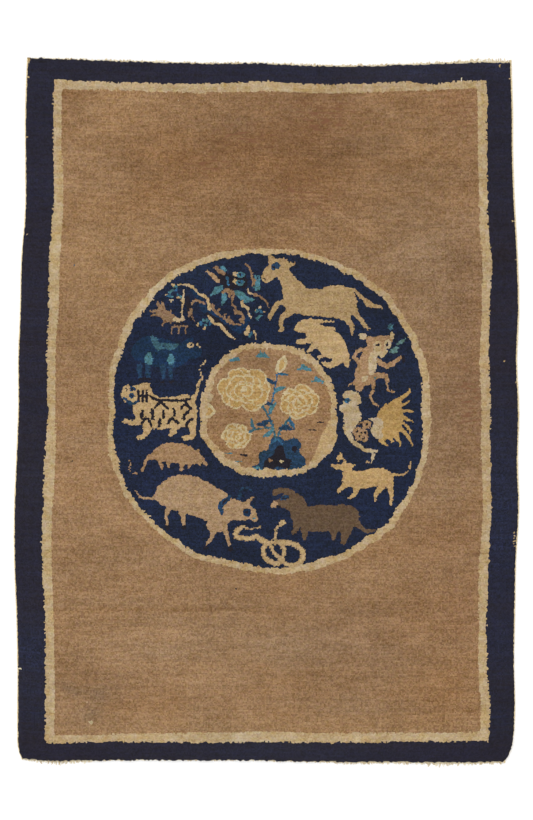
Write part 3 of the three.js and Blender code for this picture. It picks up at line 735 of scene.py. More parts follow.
def newPiece(name, corners, loops, lengths, maps, colours=None):
    mesh = bpy.data.meshes.new(name)
    mesh.vertices.add(len(corners))
    mesh.vertices.foreach_set("co", np.asarray(corners, np.float32).ravel())
    mesh.loops.add(len(loops))
    mesh.loops.foreach_set("vertex_index", np.asarray(loops, np.int32))
    mesh.polygons.add(len(lengths))
    mesh.polygons.foreach_set("loop_start", np.concatenate([[0], np.cumsum(lengths)[:-1]]).astype(np.int32))
    mesh.update(calc_edges=True)
    for mapName, places in maps.items():
        layer = mesh.uv_layers.new(name=mapName)
        layer.uv.foreach_set("vector", np.asarray(places, np.float32).ravel())
    if colours is not None:
        layer = mesh.color_attributes.new("dye", "FLOAT_COLOR", "CORNER")
        layer.data.foreach_set("color", np.asarray(colours, np.float32).ravel())
    mesh.shade_smooth()
    piece = bpy.data.objects.new(name, mesh)
    bpy.context.scene.collection.objects.link(piece)
    return piece


# The corners of the grid where the knots around them aren't all alike across either diagonal
def woolsMeet(label):
    padded = np.pad(label, 1, mode="edge")
    return (padded[:-1, :-1] != padded[1:, 1:]) | (padded[1:, :-1] != padded[:-1, 1:])


# Square blocks of knots of one dye, the biggest first, as faces that share their corners
def blockFaces(label, biggest):
    free = np.ones(label.shape, bool)
    found = []
    size = biggest
    while size:
        high, wide = label.shape[0] // size, label.shape[1] // size
        cut = (slice(0, high * size), slice(0, wide * size))
        square = (high, size, wide, size)
        same = label[cut].reshape(square)
        whole = (same == same[:, :1, :, :1]).all((1, 3)) & free[cut].reshape(square).all((1, 3))
        row, column = np.nonzero(whole)
        found.append(np.stack([row * size, column * size, np.full(len(row), size)], 1))
        free[cut] &= ~whole.repeat(size, 0).repeat(size, 1)
        size //= 2
    blocks = np.concatenate(found)
    used = np.zeros((label.shape[0] + 1, label.shape[1] + 1), bool)
    used[[0, -1]] = True
    used[:, [0, -1]] = True
    used |= woolsMeet(label)
    row, column, size = blocks.T
    for down, over in ((0, 0), (0, 1), (1, 0), (1, 1)):
        used[row + down * size, column + over * size] = True
    kept = used.tolist()
    faces = []
    for row, column, size in blocks.tolist():
        steps = range(size)
        around = ([(row, column + k) for k in steps] + [(row + k, column + size) for k in steps]
                  + [(row + size, column + size - k) for k in steps] + [(row + size - k, column) for k in steps])
        faces.append([at for at in around if kept[at[0]][at[1]]])
    return blocks, faces, used


def aroundEdge(grid):
    return np.concatenate([grid[0, :-1], grid[:-1, -1], grid[-1, :0:-1], grid[:0:-1, 0]])


# A closed slab on the grid of knots. The face that shows has small blocks, the hidden one big blocks.
def knottedSlab(name, upper, lower, rings, dye, colour, shown, blockSizes):
    rows, columns = dye.shape
    size = np.array([columns, rows])
    grid = np.stack(np.meshgrid(np.arange(columns + 1.0), np.arange(rows + 1.0)), -1)
    margin = 0.045
    corners, vertexAt, loops, lengths, colours, knotsAt, bakeAt = [], [], [], [], [], [], []
    rimIndex = {}
    count = 0
    for side, spots, turn in (("upper", upper, 1), ("lower", lower, -1)):
        seen = side == shown
        label = dye if seen else np.zeros_like(dye)
        blocks, around, used = blockFaces(label, blockSizes[0 if seen else 1])
        index = np.full(used.shape, -1)
        index[used] = count + np.arange(used.sum())
        rimIndex[side] = aroundEdge(index)
        count += used.sum()
        corners.append(spots[used])
        faceLengths = np.array([len(face) for face in around])
        places = np.array([at for face in around for at in face[::turn]])
        loops.append(index[places[:, 0], places[:, 1]])
        lengths.append(faceLengths)
        middle = blocks[:, :2] + blocks[:, 2:] // 2
        middle = np.minimum(middle, (rows - 1, columns - 1))
        colours.append(colour[middle[:, 0], middle[:, 1]].repeat(faceLengths, 0))
        share = places[:, ::-1] / size
        knotsAt.append(places[:, ::-1])
        bakeAt.append(margin + (1 - 2 * margin) * share if seen else 0.002 + 0.018 * share)
    rim = aroundEdge(grid)
    outward = (rim == size).astype(float) - (rim == 0)
    knot = np.minimum(rim, size - 1).astype(int)
    ladder = [rimIndex["upper"]]
    for ring in rings:
        ladder.append(count + np.arange(len(ring)))
        count += len(ring)
        corners.append(ring)
    ladder.append(rimIndex["lower"])
    if shown == "lower":
        levels = np.arange(len(ladder))[::-1]
    else:
        levels = np.arange(len(ladder))
    nextOne = np.roll(np.arange(len(rim)), -1)
    for n in range(len(ladder) - 1):
        above, below = ladder[n], ladder[n + 1]
        loops.append(np.stack([below, below[nextOne], above[nextOne], above], 1).ravel())
        lengths.append(np.full(len(rim), 4))
        colours.append(colour[knot[:, 1], knot[:, 0]].repeat(4, 0))
        step = np.stack([np.arange(len(rim)), nextOne, nextOne, np.arange(len(rim))], 1).ravel()
        level = np.tile([levels[n + 1], levels[n + 1], levels[n], levels[n]], len(rim))[:, None]
        knotsAt.append(rim[step] + outward[step] * level)
        bakeAt.append(margin + (1 - 2 * margin) * rim[step] / size + outward[step] * level * 0.005)
    maps = {"knots": np.concatenate(knotsAt), "OFBake": np.concatenate(bakeAt)}
    return newPiece(name, np.concatenate(corners), np.concatenate(loops), np.concatenate(lengths), maps,
                    np.concatenate(colours))


def linear(hexColour):
    values = np.array([int(hexColour[n:n + 2], 16) for n in (1, 3, 5)]) / 255
    return np.where(values <= 0.04045, values / 12.92, ((values + 0.055) / 1.055) ** 2.4)


def pileTop(x, y, fromEdge):
    x, y = x / mm, y / mm
    across, up, phase = cloth["longWave"]
    wave = np.sin(x / across + phase) * np.cos(y / up)
    across, up, share = cloth["slantWave"]
    wave += share * np.sin(x / across - y / up)
    shoulder = np.minimum(fromEdge / cloth["shoulder"], 1)
    rounded = np.sqrt(1 - (1 - shoulder) ** 2)
    pile = cloth["rimPile"] + (cloth["pile"] - cloth["rimPile"]) * rounded
    return cloth["back"] + pile + cloth["unevenness"] * wave * shoulder


# Slow changes of tone by yarn batch, light and use, in units of the drawing: across, up, how wide, how high,
# then per cent more or less red, green and blue
tints = {
    "camel": (
        (18, 268, 98, 56, -20, -25, -28), (-110, 245, 45, 42, -4, -9, -15), (-145, 305, 34, 24, 10, 10, 8),
        (60, 205, 50, 14, -6, -8, -9), (188, 20, 56, 92, -15, -13, -7), (165, 160, 56, 60, -6, -2, 5),
        (-172, -75, 64, 62, 8, 10, 13), (-160, 150, 50, 40, 8, 10, 8), (-82, -250, 84, 62, 12, 14, 17),
        (95, -232, 60, 36, -5, -5, -1), (182, -128, 44, 28, -9, -12, -13), (0, -318, 220, 14, 9, 11, 9),
        (185, -275, 40, 40, -2, -6, -11), (-100, -198.6, 112, 2.4, -11, -17, -27),
        (-105, 167.4, 42, 1.6, 5, 6, 7),
        (-200, -275, 8, 5, -14, -9, -2), (-190, -281, 9, 5, -14, -9, -2), (-167, -283, 9, 6, -13, -8, -2),
        (-176, -303, 9, 6, -14, -9, -3), (-170, -292, 9, 9, -9, -6, -1), (33, 245, 130, 90, -5, -7, -10),
        (62, 314, 46, 14, -14, -16, -15),
        (198, 110, 24, 160, -6, -8, -8), (-22, -148, 42, 12, -9, -11, -13), (-27, -180, 110, 20, -3, -5, -7),
        (172, -190, 60, 50, -3, -6, -8), (-17, -290, 150, 18, -3, -3, -2), (-203, 312, 20, 12, -10, -14, -18),
        (-170, 277, 25, 12, 7, 7, 6), (-150, 314, 40, 12, 8, 10, 11), (188, 312, 34, 16, -7, -12, -14),
        (0, 238, 110, 22, -5, -8, -12), (193, -200, 20, 40, -8, -11, -11), (-203, -120, 14, 60, 7, 7, 8),
        (-160, -275, 45, 26, -7, -9, -10), (10, -235, 130, 26, -2, 1, 5)),
    "cream": (
        (218, 30, 24, 190, -5, -6, -6), (-150, 325, 70, 16, 7, 9, 15), (110, 325, 40, 14, -6, -7, -3),
        (-200, -330, 60, 14, -5, -7, -8), (115, 115, 26, 26, -11, -13, -15), (-216, 170, 20, 34, 5, 8, 9),
        (-216, -130, 20, 170, 5, 7, 8), (88, 325, 60, 14, -3, -4, -6), (-38, -330, 66, 14, 6, 9, 15),
        (205, -330, 66, 14, 6, 6, 5), (-105, 115, 30, 40, 8, 13, 19), (-110, -110, 34, 30, 4, 8, 10)),
    "indigo": (
        (232, -88, 24, 100, -6, 16, 32), (-233, -250, 26, 45, 2, 14, 22), (120, 340, 85, 14, 20, 24, 22),
        (232, -315, 30, 40, -12, -8, -6), (10, -341, 80, 12, 8, 12, 14), (-233, -60, 24, 30, 0, 6, 8),
        (-233, 200, 24, 150, 1, 3, 10), (100, 342, 190, 14, 0, 4, 9), (232, -140, 24, 130, -5, -4, 2),
        (-200, -341, 60, 22, -8, -11, -6), (200, -341, 80, 16, -7, -11, -5), (232, 130, 24, 130, -4, -7, -7)),
    "ringBlue": (
        (-130, 20, 30, 40, -8, -12, -8), (115, -95, 60, 60, -8, -8, -6), (-60, 80, 60, 40, -8, -8, -6),
        (-75, 140, 35, 22, 15, 18, 13), (138, 95, 34, 30, -8, -14, -22), (-35, 75, 36, 30, -10, -13, -16),
        (96, 40, 30, 34, 12, 13, 13), (-110, -20, 35, 30, 8, 10, 12), (-100, -65, 60, 40, -1, 0, 9),
        (0, -66, 34, 20, 4, 10, 12), (-10, -148, 70, 24, -6, -11, -19)),
}
# Where the pile is worn to reddish lines along the rows: across, up, how wide, how high
worn = ((56, 292, 32, 26), (-22, 275, 30, 11), (-57, 245, 22, 11), (33, 213, 36, 18), (195, 292, 18, 18),
        (201, 10, 14, 32))


def knotColours(dye, drawnAt):
    x, y = drawnAt[..., 0], drawnAt[..., 1]
    colour = np.array([linear(dyes[name][0]) for name in dyeNames])[dye]
    for name, patches in tints.items():
        one = dye == dyeNumber[name]
        tone = np.ones((one.sum(), 3))
        for across, up, wide, high, *change in patches:
            near = np.exp(-((x[one] - across) / wide) ** 2 - ((y[one] - up) / high) ** 2)
            tone *= 1 + near[:, None] * np.array(change) / 100
        colour[one] *= tone
    bands = 0.6 * wandering(len(dye), 1.6) + 0.6 * wandering(len(dye), 12) ** 3
    bluer = 0.2 * lumps(dye.shape, 7) + 0.4 * lumps(dye.shape, 40) + bands[:, None]
    blue = np.isin(dye, [dyeNumber[name] for name in ("indigo", "ringBlue", "oxBlue", "midBlue")])[..., None]
    colour *= np.where(blue, 1 + bluer[..., None] * np.array([-0.06, 0.03, 0.14]), 1)
    slow = 0.08 * lumps(dye.shape, 2.6, 6) + 0.07 * lumps(dye.shape, 6, 16) + 0.08 * lumps(dye.shape, 15, 36)
    slow *= 1 + 0.4 * np.clip((y - 40) / 140, 0, 1)  # more uneven above the medallion
    warm = 0.02 * lumps(dye.shape, 4, 16) + 0.025 * lumps(dye.shape, 10, 22) + 0.035 * lumps(dye.shape, 20, 50)
    tone = 1 + slow[..., None] * np.array([0.86, 1, 1.2]) + warm[..., None] * np.array([0.6, 0, -1])
    colour *= np.where((dye == dyeNumber["camel"])[..., None], tone, 0.4 + 0.6 * tone)
    mottled = lumps(dye.shape, 3.5)[..., None] * np.array([0.08, 0.14, 0.3])
    colour *= np.where(np.isin(dye, [dyeNumber["cream"], dyeNumber["ivory"]])[..., None], 1 + mottled, 1)
    rowTone = 0.03 * (random.random(len(dye)) * 2 - 1) + 0.025 * wandering(len(dye), 2.5)
    columnTone = 0.025 * (random.random(dye.shape[1]) * 2 - 1)
    colour *= 1 + rowTone[:, None, None] + columnTone[:, None]
    wear = np.zeros(dye.shape)
    for across, up, wide, high in worn:
        wear += np.exp(-((x - across) / wide) ** 2 - ((y - up) / high) ** 2)
    return colour, np.where(dye == dyeNumber["camel"], np.clip(wear, 0, 1), 0)


# Each corner of a knot on a line between two wools, moved to the middle of its two neighbours on it
def alongLines(dye, place):
    padded = np.pad(dye, 1, mode="edge")
    upwards = padded[:, :-1] != padded[:, 1:]
    sideways = padded[:-1] != padded[1:]
    total = np.zeros(place.shape)
    lines = np.zeros(place.shape[:2], int)
    for met, axis, step in ((upwards[1:], 0, -1), (upwards[:-1], 0, 1),
                            (sideways[:, 1:], 1, -1), (sideways[:, :-1], 1, 1)):
        total += met[..., None] * np.roll(place, step, axis)
        lines += met
    same = [dye == np.roll(dye, step, axis) for axis in (0, 1) for step in (1, -1)]
    thin = np.pad(np.sum(same, 0) < 2, 1)
    thin = thin[:-1, :-1] | thin[1:, :-1] | thin[:-1, 1:] | thin[1:, 1:]
    return np.where(((lines == 2) & ~thin)[..., None], total / 2, place)


print("charting the knots")
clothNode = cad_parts["knotted_cloth"].data
spots = np.zeros(len(clothNode.vertices) * 3)
clothNode.vertices.foreach_get("co", spots)
edges = edgeLines(spots.reshape(-1, 3))
dye, place, drawnAt = knotChart(edges)
rows, columns = dye.shape
colour, wear = knotColours(dye, drawnAt)

print("knotting the pile")
gridPlace = placeOnCloth(edges, np.arange(columns + 1) / columns, np.arange(rows + 1) / rows)
shape = (rows + 1, columns + 1)
column, row = np.meshgrid(np.arange(columns + 1), np.arange(rows + 1))
fromSide = np.minimum(column, columns - column)
fromEnd = np.minimum(row, rows - row)
fromEdge = np.minimum(fromSide, fromEnd) * chart["knot"]
height = pileTop(gridPlace[..., 0], gridPlace[..., 1], fromEdge)
standing = np.array([dyes[name][1] for name in dyeNames])[dye]
standing = np.pad(standing, 1, mode="edge")
height += (standing[:-1, :-1] + standing[1:, :-1] + standing[:-1, 1:] + standing[1:, 1:]) / 4
for step, amount in cloth["lumps"]:
    height += amount * lumps(shape, step)
height += cloth["tufts"] * (random.random(shape) * 2 - 1)
inside = (fromEdge > 0)[..., None]
stray = np.where(woolsMeet(dye), cloth["frayed"], cloth["stray"])[..., None] * (random.random((*shape, 2)) * 2 - 1)
pilePlace = gridPlace + inside * (0.5 * (alongLines(dye, gridPlace) - gridPlace) + stray * mm)
upper = np.dstack([pilePlace, height * mm])
rimWay = np.dstack([(column == columns) * 1.0 - (column == 0), (row == rows) * 1.0 - (row == 0), np.zeros(shape)])
way = aroundEdge(rimWay)
rimPlace = aroundEdge(np.dstack([gridPlace, np.zeros(shape)]))
rimCount = len(way)
leans = np.zeros(shape)
for side, cut, count in (("left", np.s_[:, 0], rows), ("right", np.s_[:, -1], rows), ("bottom", np.s_[0], columns),
                         ("top", np.s_[-1], columns)):
    share, amount = np.array(cloth[side]).T
    leans[cut] = np.interp(np.arange(count + 1) / count, share, amount)
single, several = np.where(way[:, 1] == 0, *np.array(cloth["teeth"])[..., None])
lean = aroundEdge(leans) + single * (random.random(rimCount) * 2 - 1) + several * wandering(rimCount, 1.6)
lean = np.maximum(lean, 0.05)[:, None] * mm
rimHeight = aroundEdge(height)[:, None] * mm
up = np.array([[0, 0, 1.0]])
leaned = rimPlace + way * lean + up * rimHeight
start = 0
for cut, size in ((np.s_[0, :-1], columns), (np.s_[:-1, -1], rows),
                  (np.s_[-1, :0:-1], columns), (np.s_[:0:-1, 0], rows)):
    upper[cut] = leaned[start:start + size]
    start += size
rings = [
    rimPlace + way * (lean + 0.15 * mm) + up * (rimHeight - 0.45 * mm),
    rimPlace + way * (lean * 0.5) + up * 5.75 * mm,
    rimPlace + way * -0.1 * mm + up * 5.5 * mm,
]
lower = np.dstack([gridPlace, np.full(shape, (cloth["back"] + cloth["seam"]) * mm)])
pile = knottedSlab("wool_pile", upper, lower, rings, dye, np.dstack([colour, wear]), "upper", (2, 16))

print("weaving the back")
backTop = np.dstack([gridPlace, np.full(shape, cloth["back"] * mm)])
backFloor = np.dstack([gridPlace, np.zeros(shape)])
ring = rimPlace + up * cloth["back"] / 2 * mm
backColour = np.dstack([colour * 0.95 + 0.012, wear])
back = knottedSlab("woven_back", backTop, backFloor, [ring], dye, backColour, "lower", (4, 16))


# Closed tubes from rings of points, shaped (tubes, rings, around, 3), and where each face corner is
def tubes(sections):
    count, rings, around = sections.shape[:3]
    tube, ring, side = np.mgrid[0:count, 0:rings - 1, 0:around]
    steps = [(0, 0), (0, 1), (1, 1), (1, 0)]
    walls = np.stack([(tube * rings + ring + up) * around + (side + over) % around for up, over in steps], -1)
    wallAt = np.stack([np.stack([tube, ring + up, side + over], -1) for up, over in steps], -2)
    first = np.arange(count)[:, None] * rings * around + np.arange(around)
    caps = np.stack([first[:, ::-1], first + (rings - 1) * around], 1)
    capAt = np.stack(np.broadcast_arrays(np.arange(count)[:, None, None], np.array([[-1], [-2]]),
                                         np.stack([np.arange(around)[::-1], np.arange(around)])), -1)
    loops = np.concatenate([walls.ravel(), caps.ravel()])
    lengths = np.concatenate([np.full(walls[..., 0].size, 4), np.full(2 * count, around)])
    at = np.concatenate([wallAt.reshape(-1, 3), capAt.reshape(-1, 3)])
    corners = sections.reshape(-1, 3)
    a, b, c = (corners[walls[..., n].ravel()] for n in (0, 1, 2))
    if np.einsum("ij,ij->", a, np.cross(b, c)) < 0:
        ends = np.cumsum(lengths)
        turned = np.repeat(ends, lengths) - 1 - (np.arange(len(loops)) - np.repeat(ends - lengths, lengths))
        loops, at = loops[turned], at[turned]
    return corners, loops, lengths, at


# Each tube, or each stretch of a long one, has its own cell on the map, its two caps a small spot in it
def cellMap(at, rings, around, cells, stretch):
    tube, ring, side = at.T.astype(float)
    capped = ring < 0
    firstRing = np.minimum.reduceat(ring, np.arange(0, len(ring), 4)).repeat(4)[:len(ring)]
    part = np.where(capped, 0, np.floor(firstRing / stretch))
    cell = tube * math.ceil((rings - 1) / stretch) + part
    across = np.where(capped, 0.95 + 0.03 * np.cos(side / around * math.tau), 0.06 + 0.82 * side / around)
    up = np.where(capped, 0.5 + 0.2 * (ring + 1.5) + 0.03 * np.sin(side / around * math.tau),
                  0.05 + 0.9 * (ring - part * stretch) / stretch)
    cellRows = math.ceil((cell.max() + 1) / cells)
    return np.stack([(cell % cells + across) / cells, (cell // cells + up) / cellRows], -1)


sideCords = {
    "width": 4.5,
    "height": 4.9,
    "gap": 0.3,
    "turn": 2.1,              # from one turn of the wrapping yarn to the next
    "groove": 0.3,
    "slant": 1.1,             # a turn lies this far askew
    "wobble": 0.06,           # share by which its size wanders
    "around": 12,
    "ringsPerTurn": 3,
    "stretches": 16,          # of its length, side by side on its bake map
}


def sideCord(name, line, outwards):
    first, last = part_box(name)
    turns = round((last.y - first.y) / (sideCords["turn"] * mm))
    rings = turns * sideCords["ringsPerTurn"] + 1
    y = np.linspace(first.y, last.y, rings)
    x = np.interp(y, line[:, 1], line[:, 0]) + 0.25 * mm * wandering(rings, 40)
    turn = np.arange(rings) / sideCords["ringsPerTurn"]
    grooved = 1 - np.abs(np.sin(math.pi * turn))
    angle = np.arange(sideCords["around"]) / sideCords["around"] * math.tau
    wobble, groove = sideCords["wobble"], sideCords["groove"] * grooved
    wide = sideCords["width"] * (1 + wobble * wandering(rings, 25)) - 2 * groove
    high = sideCords["height"] * (1 + wobble * wandering(rings, 19)) - groove
    out = sideCords["gap"] + sideCords["width"] / 2 + wide[:, None] / 2 * np.cos(angle)
    up = np.maximum(high[:, None] * (0.46 + 0.54 * np.sin(angle)), 0)
    along = y[:, None] + sideCords["slant"] / 2 * mm * np.cos(angle) * np.ones((rings, 1))
    sections = np.stack([x[:, None] + outwards * out * mm, along, up * mm], -1)[None]
    corners, loops, lengths, at = tubes(sections)
    wraps = np.stack([at[:, 2] / sideCords["around"], np.maximum(at[:, 1], 0) / sideCords["ringsPerTurn"]], -1)
    stretch = math.ceil((rings - 1) / sideCords["stretches"])
    maps = {"wraps": wraps, "OFBake": cellMap(at, rings, sideCords["around"], sideCords["stretches"], stretch)}
    return newPiece("wrapped_" + name, corners, loops, lengths, maps)


warpEnds = {
    "thick": 1.5,
    "gap": 0.3,
    "weave": 0.25,            # a weft stands this far over the warp beside it
    "warpsPerKnot": 2,
    "thread": 1.3,            # thickness of a cut warp, and of its end
    "tip": 0.7,
    "together": (2, 6),       # warps that cling to each other
    "short": 0.68,            # the shortest ends, as a share of the web's reach
    "spread": 1.0,            # the longest common ones are this much longer
    "crowding": 1.3,
    "lean": 0.55,
    "curl": 0.5,
    "webShare": 0.66,         # the woven part of the reach
    # how far web and ends reach past the pile at distances across the rug
    "across": (-640, -552, -425, -297, -170, -42, 85, 213, 340, 468, 545, 640),
    "top": (3.6, 4.2, 5.8, 6.0, 6.4, 5.6, 6.0, 5.8, 6.2, 6.8, 8.8, 8.4),
    "bottom": (5.0, 5.6, 4.6, 4.4, 4.2, 4.4, 4.6, 6.2, 6.6, 7.4, 7.4, 6.4),
    # tufts of longer ends: where, half their width, and how much longer
    "longTufts": {
        "top": ((520, 60, 2), (628, 5, 3)),
        "bottom": ((-520, 84, 8), (212, 30, 2.5), (433, 24, 5)),
    },
    # loose yarns that lie in a bow beyond the web: where, how long, how far out
    "bows": {
        "top": ((-264, 34, 3), (60, 20, 2), (490, 16, 2), (540, 32, 4), (566, 26, 3)),
        "bottom": ((-458, 38, 3.4), (256, 14, 2.6), (433, 18, 4), (288, 20, 2)),
    },
}


def webStrip(end, line, outwards):
    steps = columns * warpEnds["warpsPerKnot"]
    x = np.linspace(line[0, 0], line[-1, 0], steps + 1)
    y = np.interp(x, line[:, 0], line[:, 1]) / mm
    reach = warpEnds["webShare"] * np.interp(x / mm, warpEnds["across"], warpEnds[end])
    reach = reach * (1 + 0.25 * wandering(steps + 1, 5) + 0.2 * wandering(steps + 1, 17))
    profile = ((0, 0), (0, 0.9), (0.1, 1), (0.28, 0.97), (0.46, 0.95), (0.64, 0.9), (0.82, 0.85),
               (0.96, 0.75), (1, 0.3), (1, 0))
    sections = np.zeros((steps + 1, len(profile), 3))
    for n, (out, high) in enumerate(profile):
        over = warpEnds["weave"] * np.where((np.arange(steps + 1) + n) % 2, 1, -1) * (0.1 <= out < 0.98)
        sections[:, n, 0] = x
        sections[:, n, 1] = (y + outwards * (warpEnds["gap"] + out * reach)) * mm
        sections[:, n, 2] = np.maximum(high * warpEnds["thick"] + over * (high > 0.5), 0) * mm
    corners, loops, lengths, at = tubes(sections[None])
    around = len(profile)
    threads = np.stack([np.maximum(at[:, 1], 0), at[:, 2]], -1)
    stretch = math.ceil(steps / 16)
    maps = {"threads": threads, "OFBake": cellMap(at, steps + 1, around, 16, stretch)}
    return newPiece(f"web_{end}", corners, loops, lengths, maps)


# Cut warps that cling together in twos to fives, bent their own way, and a few loose yarns beyond them
def cutWarps(end, line, outwards):
    count = columns * warpEnds["warpsPerKnot"]
    rings, around = 7, 5
    along = np.linspace(0, 1, rings)
    x = line[0, 0] + (np.arange(count) + 0.5) / count * (line[-1, 0] - line[0, 0])
    group = np.repeat(np.arange(count), random.integers(*warpEnds["together"], count))[:count]
    pull = (np.bincount(group, x) / np.bincount(group))[group] - x
    reach = np.interp(x / mm, warpEnds["across"], warpEnds[end])
    longer = 0.75 * random.random(count)[group] + 0.25 * random.random(count)
    total = reach * (warpEnds["short"] + warpEnds["spread"] * longer ** warpEnds["crowding"])
    for place, half, extra in warpEnds["longTufts"][end]:
        near = np.maximum(0, 1 - np.abs(x / mm - place) / half) ** 0.5
        total += extra * near * (0.3 + random.random(count)[group])
    rootAt = warpEnds["gap"] + 0.3 * reach
    free = total - rootAt
    lean = warpEnds["lean"] * ((random.random(count) * 2 - 1)[group] + 0.3 * (random.random(count) * 2 - 1))
    curl = warpEnds["curl"] * (random.random((count, 1)) * 2 - 1)
    centre = np.zeros((count, rings, 3))
    centre[..., 0] = x[:, None] + 0.6 * pull[:, None] * along
    centre[..., 0] += (free[:, None] * lean[:, None] * along ** 1.6 + curl * np.sin(along * 5)) * mm
    edge = np.interp(centre[:, 0, 0], line[:, 0], line[:, 1])
    centre[..., 1] = edge[:, None] + outwards * (rootAt[:, None] + free[:, None] * along) * mm
    level = warpEnds["thick"] * (0.55 + 0.35 * random.random((count, 1)))
    centre[..., 2] = (level * (1 - 0.45 * along ** 2) + 0.3 * (random.random((count, rings)) - 0.5)) * mm
    radius = np.tile((warpEnds["thread"] + (warpEnds["tip"] - warpEnds["thread"]) * along ** 3) / 2, (count, 1))

    bows = np.zeros((len(warpEnds["bows"][end]), rings, 3))
    for n, (place, length, out) in enumerate(warpEnds["bows"][end]):
        bows[n, :, 0] = (place + length * (along - 0.5)) * mm
        reachHere = 0.8 * np.interp(place, warpEnds["across"], warpEnds[end])
        bows[n, :, 1] = np.interp(bows[n, :, 0], line[:, 0], line[:, 1])
        bows[n, :, 1] += outwards * (reachHere + out * np.sin(math.pi * along) ** 0.8) * mm
        bows[n, :, 2] = 0.9 * mm
    centre = np.concatenate([centre, bows])
    radius = np.concatenate([radius, np.full(bows.shape[:2], 0.5 * warpEnds["tip"])])
    way = np.gradient(centre, axis=1)
    side = np.cross(way, (0, 0, 1))
    side /= np.linalg.norm(side, axis=-1, keepdims=True)
    angle = np.arange(around) / around * math.tau
    sections = centre[:, :, None] + mm * radius[..., None, None] * (
        side[:, :, None] * np.cos(angle)[:, None] + np.array([0, 0, 1.0]) * np.sin(angle)[:, None])
    sections[..., 2] = np.maximum(sections[..., 2], 0.02 * mm)
    corners, loops, lengths, at = tubes(sections)
    cells = math.ceil(math.sqrt(len(centre)))
    bundle = np.concatenate([group, count + np.arange(len(bows))])[at[:, 0]]
    twist = np.stack([at[:, 2] / around + bundle, np.maximum(at[:, 1], 0) / rings + 7 * bundle], -1)
    maps = {"threads": twist, "OFBake": cellMap(at, rings, around, cells, rings - 1)}
    return newPiece(f"cut_warps_{end}", corners, loops, lengths, maps)


print("wrapping the side cords")
left, right, bottom, top = edges
cords = [sideCord("side_cord_left", left, -1), sideCord("side_cord_right", right, 1)]
print("weaving the webs and cutting the warps")
webs = [webStrip("top", top, 1), webStrip("bottom", bottom, -1)]
warps = [cutWarps("top", top, 1), cutWarps("bottom", bottom, -1)]


def add(tree, kind, inputs=None, **settings):
    made = tree.nodes.new("ShaderNode" + kind)
    for name, value in settings.items():
        setattr(made, name, value)
    for socket, value in (inputs or {}).items():
        if isinstance(value, bpy.types.NodeSocket):
            tree.links.new(value, made.inputs[socket])
        else:
            made.inputs[socket].default_value = value
    return made


def newMaterial(name):
    material = bpy.data.materials.new(name)
    material.use_nodes = True
    return material, material.node_tree, material.node_tree.nodes["Principled BSDF"]


# The sum of each value's distance from its middle, in the given amounts
def varied(tree, *parts, start=0.0):
    total = start
    for value, amount in parts:
        centred = add(tree, "Math", {0: value, 1: 0.5}, operation="SUBTRACT").outputs[0]
        total = add(tree, "Math", {0: centred, 1: amount, 2: total}, operation="MULTIPLY_ADD").outputs[0]
    return total


